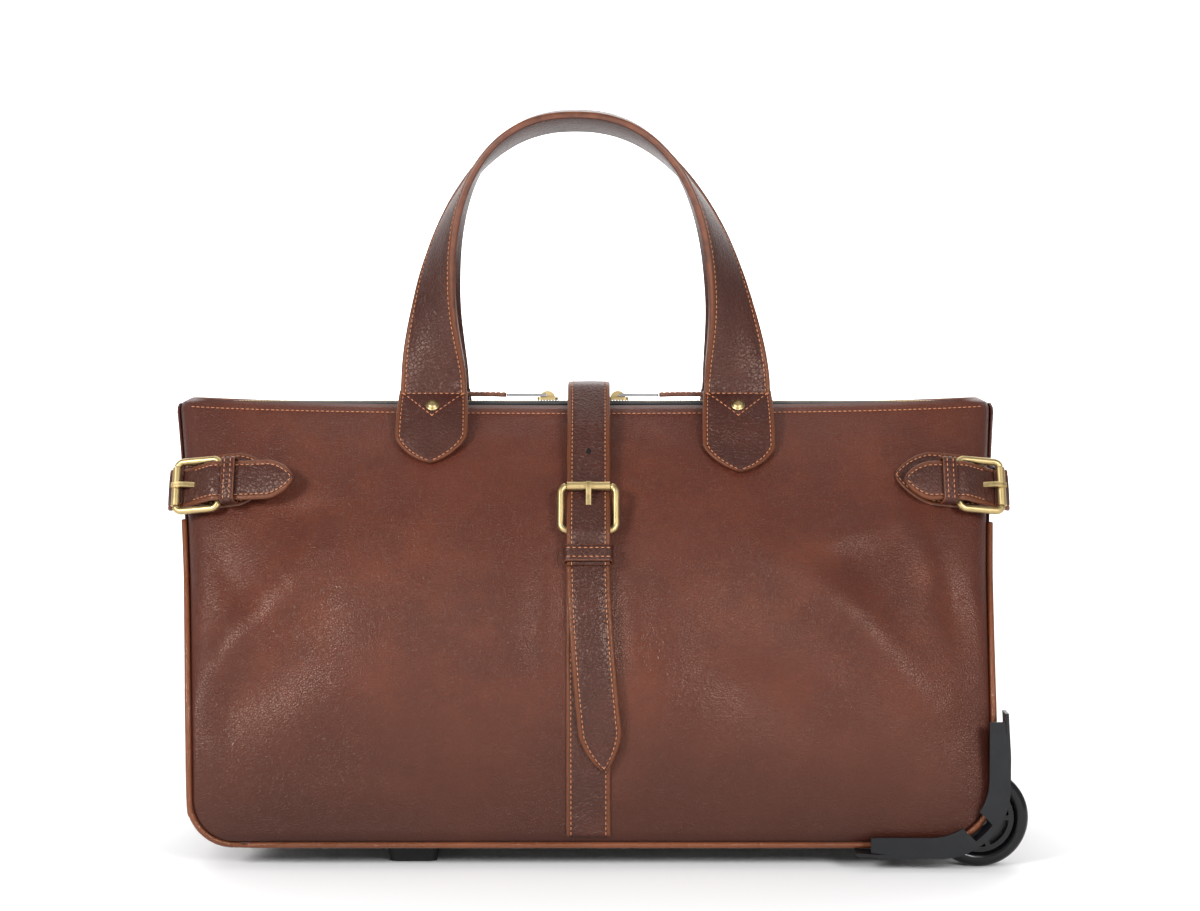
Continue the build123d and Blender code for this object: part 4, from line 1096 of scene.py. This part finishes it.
class DUFFLE_OT_handles(bpy.types.Operator):
    """Build the two carry handles and the patches that hold them"""

    bl_idname = "duffle.handles"
    bl_label = "Handles"

    spread = 109.0
    foot_z = 336.0
    hinge_y = 20.0
    hinge_z = 324.0

    def arch(self, angle, side, rise):
        """Centre of the handle at an angle round its arch, and how far up it is."""
        turn = math.radians(angle)
        reach = abs(math.sin(turn)) ** (2 / 2.3)
        height = max(math.cos(turn), 0.0) ** (2 / 2.3)
        x = bag_middle_x + 0.5 - 7.0 * height + math.copysign(self.spread * reach, angle)
        return Vector((x, side * (self.hinge_y + 7.0 * height), self.foot_z + rise * height)), height

    def run(self, side, rise):
        """The whole strap: out from under the left patch, round the arch, and in under the right patch."""
        points, faces, heights = [], [], []
        angles = [-90 + 180 * i / 40 for i in range(41)]
        arch = [self.arch(a, side, rise) for a in angles]
        for i, (centre, height) in enumerate(arch):
            before, after = arch[max(i - 1, 0)][0], arch[min(i + 1, 40)][0]
            along = (after - before).normalized()
            outward = Vector((-along.z, 0, along.x)).normalized()
            twist = math.radians(102.0 * (1 - (1 - height) ** 1.3))
            face = Vector((0, side, 0)) * math.cos(twist) + outward * math.sin(twist)
            points.append(centre)
            faces.append(face)
            heights.append(height)
        x0, x1 = arch[0][0].x, arch[-1][0].x

        def leg(x):
            out = []
            for z, lift in ((292, 2.6), (302, 3.4), (311, 4.4)):
                out.append(face_point(x, z, side, lift))
            for away, z, tip in ((3.6, 320.0, 0.55), (0.6, 328.5, 0.08)):
                spot = Vector((x, side * (self.hinge_y + away), z))
                out.append((spot, Vector((0, side, tip)).normalized()))
            return out

        start, end = leg(x0), leg(x1)[::-1]
        all_points = [p for p, f in start] + points + [p for p, f in end]
        all_faces = [f for p, f in start] + faces + [f for p, f in end]
        return Run(all_points, all_faces, 2.4, 6)

    def execute(self, context):
        for side, word in ((-1, "front"), (1, "back")):
            rise = node_box(f"handle_{word}")[1].z - 6.6 - self.foot_z
            run = self.run(side, rise)

            def width(s, run=run):
                away = min(s, run.length - s)
                share = min(max((away - 36.0) / 78.0, 0.0), 1.0)
                return 47.5 + (38.0 - 47.5) * (share * share * (3 - 2 * share))

            name = f"{word}_handle_strap"
            made = make_strap(name, run, width, 5.2, strap_finishes(), crown=0.9, groove=3.6)
            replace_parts(made, f"handle_{word}")
            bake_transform(made)
            sew_strap(f"{word}_handle", run, width, 5.2, 26.0, run.length - 26.0, 3.6, 0.10)
            for leg, turn in (("left", -90), ("right", 90)):
                x = self.arch(turn, side, rise)[0].x
                drop = 0.0 if leg == "left" else 6.0
                points, faces = [], []
                stands = (
                    (277.0 - drop, 1.2), (286.0, 2.6), (296.0, 5.6), (306.0, 7.4), (314.0, 8.2), (320.5, 8.2),
                )
                for z, lift in stands:
                    spot, normal = face_point(x, z, side, lift)
                    points.append(spot)
                    faces.append(normal)
                patch_run = Run(points, faces, 1.5)

                def patch_width(s, total=patch_run.length):
                    if s < 22.0:
                        share = s / 22.0
                        return 51.5 * (0.30 * share + 0.70 * math.sin(share * math.pi / 2) ** 0.60)
                    return 51.5 - 3.0 * ((s - 22.0) / (total - 22.0)) ** 2

                thick = 2.6
                patch = make_strap(
                    f"{word}_{leg}_handle_patch", patch_run, patch_width, thick,
                    strap_finishes(), crown=0.5, groove=3.2,
                )
                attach(patch, "bag")
                if leg == "left":
                    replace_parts(patch, f"handle_feet_{word}")
                sew_strap("body", patch_run, patch_width, thick, 2.0, patch_run.length - 4.0, 3.2)
                sew_across("body", patch_run, patch_run.length - 4.0, 21.5, thick / 2 + 0.55)
                rivet_s = patch_run.length - 15.0
                for way in (-1, 1):
                    row, outs = [], []
                    for k in range(11):
                        share = k / 10
                        down = patch_run.length - 5.0 - 19.0 * share
                        spot, face = patch_run.at(down, way * (20.5 - 20.0 * share), thick / 2 + 0.55)
                        row.append(spot)
                        outs.append(face)
                    sew("body", row, outs)
                self.rivet(f"{word}_{leg}_rivet", patch_run, rivet_s, thick / 2 + 0.3, leg == "left", word)
        return {"FINISHED"}

    def rivet(self, name, run, s, lift, first, word):
        """Domed brass rivet with a stepped rim."""
        centre, face = run.at(s, 0.0, lift)
        one = face.orthogonal().normalized()
        two = face.cross(one)
        profile = ((0.0, 2.3), (1.6, 2.15), (3.0, 1.7), (3.9, 0.9), (4.2, 0.45), (4.9, 0.3), (5.1, -0.6))
        sides = 28
        verts, faces = [centre + face * profile[0][1]], []
        for radius, height in profile[1:]:
            for k in range(sides):
                turn = 2 * math.pi * k / sides
                verts.append(centre + face * height + (one * math.cos(turn) + two * math.sin(turn)) * radius)
        for k in range(sides):
            faces.append((0, 1 + k, 1 + (k + 1) % sides))
        for ring in range(len(profile) - 2):
            for k in range(sides):
                n = (k + 1) % sides
                a = 1 + ring * sides
                faces.append((a + k, a + sides + k, a + sides + n, a + n))
        base = 1 + (len(profile) - 2) * sides
        faces.append(tuple(base + k for k in range(sides))[::-1])
        made = face_outward(make_mesh(name, verts, faces, [materials["brass"]]))
        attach(made, "bag")
        if first and word == "front":
            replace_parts(made, "handle_rivets")


def buckle_frame(name, short, width, node):
    """Cast frame of a roller buckle: a rounded rod loop, thinner in its roller and in the prong's ring."""
    pivot, axis = joint_line(f"{short}_prong_lift")
    roller, _ = joint_line(f"{short}_roller_spin")
    up = (roller - pivot).normalized()
    out = axis.cross(up).normalized()
    centre = (pivot + roller) / 2
    rod, corner = buckle_rod_radius, buckle_corner_radius
    half_w, half_h = width / 2 - rod, (roller - pivot).length / 2
    roller_half = width / 2 - 5.2 - 1.3
    flat = []
    for turn, across, rise in ((0, 1, 1), (90, -1, 1), (180, -1, -1), (270, 1, -1)):
        for k in range(9):
            angle = math.radians(turn + 90 * k / 8)
            x = across * (half_w - corner) + corner * math.cos(angle)
            y = rise * (half_h - corner) + corner * math.sin(angle)
            flat.append((x, y, math.cos(angle), math.sin(angle)))
        if turn in (0, 180):
            for k in range(1, 60):
                share = k / 60
                flat.append((across * (half_w - corner) * (1 - 2 * share), rise * half_h, 0.0, float(rise)))
    verts, faces = [], []
    sides = 14
    for x, y, nx, ny in flat:
        radius = rod
        if y > half_h - 0.5 and abs(x) < roller_half:
            radius = 1.5
        elif y < -half_h + 0.5 and abs(x) < 3.0:
            radius = 1.9
        spot = centre + axis * x + up * y
        away = axis * nx + up * ny
        for k in range(sides):
            turn = 2 * math.pi * k / sides
            verts.append(spot + away * (radius * math.cos(turn)) + out * (radius * math.sin(turn)))
    for i in range(len(flat)):
        j = (i + 1) % len(flat)
        for k in range(sides):
            n = (k + 1) % sides
            faces.append((i * sides + k, i * sides + n, j * sides + n, j * sides + k))
    made = face_outward(make_mesh(name, verts, faces, [materials["brass"]]))
    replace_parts(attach(made, "bag"), node)


class DUFFLE_OT_closure(bpy.types.Operator):
    """Build the centre strap, its tail, keeper and the strap under it"""

    bl_idname = "duffle.closure"
    bl_label = "Centre strap"

    def execute(self, context):
        thick = settings().strap_thickness / MM
        finishes = strap_finishes()
        base_points = [closure_stand(24.0 + 262.0 * i / 12, 1.5) for i in range(13)]
        base_run = Run([p for p, f in base_points], [f for p, f in base_points], 2.5)
        base = make_strap("base_strap_leather", base_run, strap_width, 2.0, finishes, crown=0.15, groove=3.0)
        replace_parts(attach(base, "bag"), "closure_base_strap")
        sew_strap("body", base_run, strap_width, 2.0, 2.0, base_run.length - 2.0, 3.0)

        front_stands = (
            (209.9, 6.4), (226.0, 9.6), (233.0, 11.4), (248.0, 9.4),
            (263.0, 6.6), (275.0, 6.9), (288.0, 7.6), (305.0, 9.0),
        )
        front = [closure_stand(z, stand) for z, stand in front_stands]
        over = [
            (Vector((closure_x, -18.5, 327.0)), Vector((0, -0.72, 0.69))),
            (Vector((closure_x, -9.0, 330.9)), Vector((0, -0.25, 0.97))),
            (Vector((closure_x, 0.0, 331.5)), Vector((0, 0, 1))),
            (Vector((closure_x, 9.0, 330.9)), Vector((0, 0.25, 0.97))),
            (Vector((closure_x, 18.5, 327.0)), Vector((0, 0.72, 0.69))),
        ]
        back_heights = (305.0, 288.0, 262.0, 210.0, 150.0, 90.0, 28.0)
        back = [closure_stand(z, 5.4 if z > 280 else 2.9, 1) for z in back_heights]
        path = front + over + back
        run = Run([p for p, f in path], [f for p, f in path], 2.2)
        strap = make_strap("centre_strap", run, strap_width, thick, finishes, crown=0.35)
        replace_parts(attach(strap, "bag"), "closure_strap")
        sew_strap("body", run, strap_width, thick, 1.0, run.length - 3.0)

        tail_points = []
        for i in range(11):
            z = 209.6 - (209.6 - 70.0) * i / 10
            spot, face = closure_stand(z, 5.2 + 1.6 * math.sin(math.pi * i / 10) - 0.7)
            drift = 11.0 * (i / 10) ** 1.5
            tail_points.append((spot + Vector((drift, 0, 0)), (face + Vector((0.02, 0, 0))).normalized()))
        tail_run = Run([p for p, f in tail_points], [f for p, f in tail_points], 1.6)
        taper = tip_width(29.6, 26.0, tail_run.length)

        def tail_width(s):
            return taper(s)

        tail = make_strap("centre_strap_tail", tail_run, tail_width, thick, finishes, crown=0.5)
        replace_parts(tail, "closure_tail")
        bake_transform(tail)
        sew_strap("tail", tail_run, tail_width, thick, 4.0, tail_run.length - 1.5)

        place, face = closure_stand(217.0, 7.0)
        self.keeper("centre_strap_keeper", place, face, Vector((0, 0, 1)), 34.2, 9.2, 12.0, "closure_keeper")
        self.holes(run, [52.0, 90.0])
        buckle_frame("centre_buckle_loop", "closure", centre_buckle_width, "closure_buckle_frame")
        return {"FINISHED"}

    def keeper(self, name, centre, face, up, wide, tall, long, node):
        """Leather loop round a strap, with two stitch rows across its front."""
        up = (up - face * up.dot(face)).normalized()
        side = up.cross(face).normalized()
        corner = 3.0
        half_w, half_h = wide / 2 - 0.8, tall / 2
        spots = []
        corners = (
            (half_w - corner, half_h - corner, 0),
            (-half_w + corner, half_h - corner, 90),
            (-half_w + corner, -half_h + corner, 180),
            (half_w - corner, -half_h + corner, 270),
        )
        for cx, cy, a0 in corners:
            for k in range(4):
                turn = math.radians(a0 + 30 * k)
                nx, ny = math.cos(turn), math.sin(turn)
                spots.append((cx + corner * nx, cy + corner * ny, nx, ny))
        half_wall = 0.85
        verts, quads, kinds = [], [], []
        rows = (
            (-long / 2, half_wall - 0.4), (-long / 2 + 0.6, half_wall), (-long / 2 + 2.6, half_wall - 0.1),
            (0.0, half_wall + 0.25), (long / 2 - 2.6, half_wall - 0.1), (long / 2 - 0.6, half_wall),
            (long / 2, half_wall - 0.4), (long / 2, -half_wall + 0.3), (0.0, -half_wall),
            (-long / 2, -half_wall + 0.3),
        )
        for x, y, nx, ny in spots:
            for along, lift in rows:
                verts.append(centre + side * (x + nx * lift) + face * (y + ny * lift) + up * along)
        count, ring = len(spots), len(rows)
        for i in range(count):
            n = (i + 1) % count
            for k in range(ring):
                m = (k + 1) % ring
                quads.append((i * ring + k, n * ring + k, n * ring + m, i * ring + m))
                kinds.append(1 if k in (0, 5, 6, 9) else 0)
        made = face_outward(make_mesh(name, verts, quads, [materials["strap"], materials["edge"]], kinds))
        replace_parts(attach(made, "bag"), node)
        for along in (-long / 2 + 2.8, long / 2 - 2.8):
            row = []
            for k in range(15):
                across = side * (-half_w + 2.5 + (2 * half_w - 5) * k / 14)
                row.append(centre + across + face * (half_h + half_wall + 0.2) + up * along)
            sew("body", row, [face] * 15)
        return made

    def holes(self, run, places):
        """Punched oval holes on the strap's face, each shown as a dark plug that is painted shadow inside the
        hole.
        """
        verts, faces = [], []
        for s in places:
            base = len(verts)
            for k in range(20):
                turn = 2 * math.pi * k / 20
                spot, _ = run.at(s + 2.6 * math.sin(turn), 1.7 * math.cos(turn), 2.02)
                verts.append(spot)
            for k in range(20):
                turn = 2 * math.pi * k / 20
                spot, _ = run.at(s + 2.6 * math.sin(turn), 1.7 * math.cos(turn), 1.2)
                verts.append(spot)
            faces.append(tuple(base + k for k in range(20)))
            faces.append(tuple(base + 20 + k for k in range(20))[::-1])
            for k in range(20):
                n = (k + 1) % 20
                faces.append((base + k, base + 20 + k, base + 20 + n, base + n))
        # The dark plugs are painted shadow standing in for the depth of each hole.
        made = face_outward(make_mesh("strap_hole_shadows", verts, faces, [materials["dark"]], smooth=False))
        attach(made, "bag")


class DUFFLE_OT_cinches(bpy.types.Operator):
    """Build the cinch straps round both ends, with their tails, keepers and teardrop tabs"""

    bl_idname = "duffle.cinches"
    bl_label = "Cinch straps"

    stand = 11.0
    half_span = 16.0

    def plane(self, end, side):
        """Buckle plane on one face: its middle, the way to the bag's end, the way across and the way out."""
        x = -277.0 if end < 0 else 269.5
        tilt, yaw = math.radians(24.0), math.radians(14.0)
        out = Vector((end * math.sin(yaw), side * math.cos(yaw) * math.cos(tilt), math.sin(tilt)))
        out = out.normalized()
        to_end = Vector((end, 0, 0))
        to_end = (to_end - out * to_end.dot(out)).normalized()
        origin = Vector((x, side * half_depth(x, cinch_z), cinch_z)) + out * self.stand
        return origin, to_end, to_end.cross(out), out

    def execute(self, context):
        finishes = strap_finishes()
        thick = settings().strap_thickness / MM
        helper = DUFFLE_OT_closure
        for end, word in ((-1, "left"), (1, "right")):
            front = self.plane(end, -1)
            rear = self.plane(end, 1)
            tail_reach = 71.0 if end < 0 else 56.0
            tab_reach = 56.0 if end < 0 else 62.0

            def local(plane, along, out, across=0.0):
                return plane[0] + plane[1] * along + plane[2] * across + plane[3] * out

            for plane, face_word, side in ((front, "front", -1), (rear, "back", 1)):
                points, faces = [], []
                for k in range(9):
                    along = 12.0 - (tab_reach + 12.0) * k / 8
                    flat = local(plane, along, 0)
                    spot, normal = face_point(flat.x, flat.z, side, 1.6)
                    mixed = (normal + plane[3] * 0.35).normalized()
                    points.append(spot)
                    faces.append(mixed)
                run = Run(points, faces, 1.6)

                def tab_width(s, total=run.length):
                    left = total - s
                    share = min(left / 26.0, 1.0)
                    neck = min(max((s - 10.0) / 24.0, 0.0), 1.0)
                    full = 31.0 + 11.0 * (neck * neck * (3 - 2 * neck))
                    return full * (0.25 * share + 0.75 * math.sin(share * math.pi / 2) ** 0.62)

                name = f"{word}_cinch_tab_{face_word}"
                tab = make_strap(name, run, tab_width, 2.0, finishes, crown=0.3, groove=3.0)
                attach(tab, "bag")
                if side < 0:
                    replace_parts(tab, f"{word}_cinch_tabs")
                sew_strap("body", run, tab_width, 2.0, 3.0, run.length - 1.5, 3.0)

            keeper_local = -self.half_span - 9.0
            path = (
                (self.half_span - 4.5, -4.9), (self.half_span - 10.0, -2.6), (-self.half_span + 5.0, 5.2),
                (-self.half_span - 2.0, 5.0), (keeper_local + 4.0, 3.8), (keeper_local - 5.0, 2.4),
                (-tail_reach * 0.72, -0.6), (-tail_reach, -1.6),
            )
            run = Run([local(front, a, b) for a, b in path], [front[3]] * len(path), 1.5)
            taper = tip_width(29.0, 19.0, run.length, 0.2)
            tail = make_strap(f"{word}_cinch_tail_strap", run, taper, thick, finishes, crown=0.5)
            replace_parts(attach(tail, "bag"), f"{word}_cinch_tail")
            sew_strap("body", run, taper, thick, 12.0, run.length - 1.5)

            helper.keeper(
                self, f"{word}_cinch_keeper_loop", local(front, keeper_local, 3.1), front[3], front[1],
                34.0, 9.4, 10.0, f"{word}_cinch_keeper",
            )
            buckle_frame(f"{word}_cinch_buckle_loop", word, cinch_buckle_width, f"{word}_cinch_buckle_frame")

            wrap_x = -300.6 if end < 0 else 290.0
            points = [local(front, self.half_span - 3.6, -5.1), local(front, self.half_span + 6.0, -5.4)]
            turned = Vector((end * 0.9, -0.6, 0.12)).normalized()
            faces = [front[3], turned]
            for y, share in ((-40.0, 0.35), (-22.0, 0.08), (0.0, 0.0), (22.0, -0.08), (40.0, -0.35)):
                points.append(Vector((wrap_x, y, cinch_z)) if abs(y) < 30 else
                              Vector((wrap_x - end * 2.6, y, cinch_z)))
                faces.append(Vector((end, -share * 1.0, 0.0)).normalized())
            below = -self.stand + 3.6 + 2.0 + 0.4 + thick / 2
            for along in (self.half_span + 6.0, self.half_span - 6.0, 0.0, -self.half_span, -tab_reach * 0.8):
                points.append(local(rear, along, below))
                faces.append(rear[3] if along < self.half_span else Vector((turned.x, -turned.y, turned.z)))
            run = Run(points, faces, 2.0)
            rear_taper = tip_width(29.0, 16.0, run.length, 0.2)
            wrap = make_strap(f"{word}_cinch_wrap", run, rear_taper, thick, finishes, crown=0.3)
            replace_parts(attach(wrap, "bag"), f"{word}_cinch_strap")
            sew_strap("body", run, rear_taper, thick, 3.0, run.length - 2.0)
        return {"FINISHED"}


class DUFFLE_OT_zip(bpy.types.Operator):
    """Build the zip's tapes, teeth and the leather tabs on its pulls"""

    bl_idname = "duffle.zip"
    bl_label = "Zip"

    def execute(self, context):
        low, high = node_box("zip_teeth")
        tree = zip_tree()
        middle_z = (low.z + high.z) / 2
        line = [Vector((low.x + 2, 0, middle_z)), Vector((high.x - 2, 0, middle_z))]
        teeth = grow("zip_teeth_rows", [(line, [Vector((0, 0, 1))] * 2)], tree, {
            "Pitch": settings().zip_pitch, "Metal": materials["brass"],
        })
        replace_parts(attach(teeth, "bag"), "zip_teeth")
        low, high = node_box("zip_tapes")
        verts, uvs, faces = [], [], []
        count = 150
        shape = (
            (1.9, 1.0), (3.4, 1.25), (5.0, 0.9), (9.0, 1.0),
            (13.0, -0.4), (13.0, -1.2), (3.0, -0.2), (1.9, 0.0),
        )
        for side in (-1, 1):
            base = len(verts)
            for i in range(count + 1):
                x = low.x + (high.x - low.x) * i / count
                ripple = 0.25 * noise.noise(Vector((x * 0.06, side * 5.0, 0.0)))
                for y, z in shape:
                    verts.append((x, side * y, low.z + z + ripple))
                    uvs.append((x * MM, y * MM))
            ring = len(shape)
            for i in range(count):
                for k in range(ring):
                    n = (k + 1) % ring
                    faces.append((base + i * ring + k, base + i * ring + n, base + (i + 1) * ring + n,
                                  base + (i + 1) * ring + k))
            faces.append(tuple(base + k for k in range(ring)))
            faces.append(tuple(base + count * ring + k for k in range(ring))[::-1])
        tapes = face_outward(make_mesh("zip_tape_cloth", verts, faces, [materials["tape"]], None, uvs))
        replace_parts(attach(tapes, "bag"), "zip_tapes")
        for word, outward in (("left", -1), ("right", 1)):
            low, high = node_box(f"zip_tab_{word}")
            near, far = (high.x, low.x) if outward < 0 else (low.x, high.x)
            z = (low.z + high.z) / 2
            points = [Vector((near + (far - near) * k / 4, 0, z + 0.5 * math.sin(k * 0.9))) for k in range(5)]
            run = Run(points, [Vector((0, 0, 1))] * 5, 1.5)

            def width(s, total=run.length):
                left = min(total - s, s + 3.0)
                share = min(max(left / 7.0, 0.0), 1.0)
                return 12.0 * math.sin(share * math.pi / 2) ** 0.6

            name = f"zip_tab_{word}_leather"
            tab = make_strap(name, run, width, 2.8, strap_finishes(), crown=0.25, groove=2.2)
            body = f"pull_{word}"
            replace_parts(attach(tab, body), f"zip_tab_{word}")
            sew_strap(body, run, width, 2.8, 2.0, run.length - 2.0, 2.3)
        return {"FINISHED"}


class DUFFLE_OT_stitching(bpy.types.Operator):
    """Sew every remembered stitch row"""

    bl_idname = "duffle.stitching"
    bl_label = "Stitching"

    def execute(self, context):
        s = settings()
        tree = stitch_tree()
        values = {"Pitch": s.stitch_pitch, "Stitch Length": s.stitch_length, "Stitch Width": s.stitch_width,
                  "Thread": materials["thread"]}
        for piece, rows in seams.items():
            made = grow(f"stitches_{piece}", rows, tree, values)
            if piece in ("front_handle", "back_handle"):
                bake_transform(made)
            elif piece == "tail":
                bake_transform(made)
            else:
                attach(made, "bag" if piece == "body" else piece)
        return {"FINISHED"}


class DUFFLE_OT_stage(bpy.types.Operator):
    """Set the floor, the lights and the camera"""

    bl_idname = "duffle.stage"
    bl_label = "Stage"

    def light(self, name, place, target, size, power, colour=(1, 1, 1)):
        data = bpy.data.lights.new(name, "AREA")
        data.shape = "RECTANGLE"
        data.size, data.size_y = size
        data.energy = power
        data.color = colour
        made = bpy.data.objects.new(name, data)
        made.location = place
        made.rotation_euler = (Vector(target) - Vector(place)).to_track_quat("-Z", "Y").to_euler()
        bpy.context.scene.collection.objects.link(made)

    def execute(self, context):
        scene = context.scene
        s = Shader("pale_floor")
        tone = s.mix(s.ramp(s.noise(2.0, 3.0), 0.35, 0.7), (0.93, 0.93, 0.93), (0.96, 0.96, 0.96))
        s.finish(tone, 0.7)
        half = 6000.0
        floor = make_mesh("floor", [(-half, -half, 0), (half, -half, 0), (half, half, 0), (-half, half, 0)],
                          [(0, 1, 2, 3)], [s.material], smooth=False)
        glow = Shader("white_backdrop")
        glow.finish((0.9, 0.9, 0.9), 0.9, Emission_Color=(1.0, 1.0, 1.0, 1.0), Emission_Strength=1.0)
        far, high = 5000.0, 4500.0
        wall = make_mesh("backdrop", [(-half, far, 0), (half, far, 0), (half, far, high), (-half, far, high)],
                         [(0, 1, 2, 3)], [glow.material], smooth=False)
        world = bpy.data.worlds.new("studio")
        scene.world = world
        world.use_nodes = True
        background = next(n for n in world.node_tree.nodes if n.type == "BACKGROUND")
        background.inputs["Color"].default_value = (1.0, 1.0, 1.0, 1.0)
        background.inputs["Strength"].default_value = 0.42
        scene.view_settings.view_transform = "Standard"
        target = (0.0, 0.0, 0.2)
        self.light("key_softbox", (-1.5, -1.8, 1.05), target, (0.6, 0.6), 52.0)
        self.light("fill_softbox", (1.1, -2.1, 1.0), target, (0.6, 0.6), 38.0)
        self.light("top_softbox", (0.0, 0.3, 2.4), target, (1.4, 1.4), 7.0)
        self.light("sweep_softbox", (0.0, 3.0, 2.8), (0.0, 3.0, 0.0), (4.0, 3.0), 110.0)
        data = bpy.data.cameras.new("camera")
        data.lens = settings().lens
        data.sensor_width = 36.0
        data.clip_start, data.clip_end = 0.05, 50.0
        camera = bpy.data.objects.new("camera", data)
        camera.location = camera_place
        camera.rotation_euler = (Vector(camera_aim) - camera.location).to_track_quat("-Z", "Y").to_euler()
        scene.collection.objects.link(camera)
        scene.camera = camera
        return {"FINISHED"}


class DUFFLE_PT_sidebar(bpy.types.Panel):
    """Lists the duffle's sizes, colours and building steps"""

    bl_label = "Leather duffle"
    bl_space_type = "VIEW_3D"
    bl_region_type = "UI"
    bl_category = "Duffle"

    def draw(self, context):
        chosen = context.scene.duffle_settings
        for name in DuffleSettings.__annotations__:
            self.layout.prop(chosen, name)
        for operator in operators:
            self.layout.operator(operator.bl_idname)


operators = (
    DUFFLE_OT_materials,
    DUFFLE_OT_body,
    DUFFLE_OT_handles,
    DUFFLE_OT_closure,
    DUFFLE_OT_cinches,
    DUFFLE_OT_zip,
    DUFFLE_OT_stitching,
    DUFFLE_OT_stage,
)
classes = (DuffleSettings, *operators, DUFFLE_PT_sidebar)


def register():
    for item in classes:
        bpy.utils.register_class(item)
    bpy.types.Scene.duffle_settings = PointerProperty(type=DuffleSettings)


def unregister():
    del bpy.types.Scene.duffle_settings
    for item in reversed(classes):
        bpy.utils.unregister_class(item)


def main():
    register()
    bpy.ops.duffle.materials()
    bpy.ops.duffle.body()
    bpy.ops.duffle.handles()
    bpy.ops.duffle.closure()
    bpy.ops.duffle.cinches()
    bpy.ops.duffle.zip()
    bpy.ops.duffle.stitching()
    bpy.ops.duffle.stage()


if __name__ == "__main__":
    main()
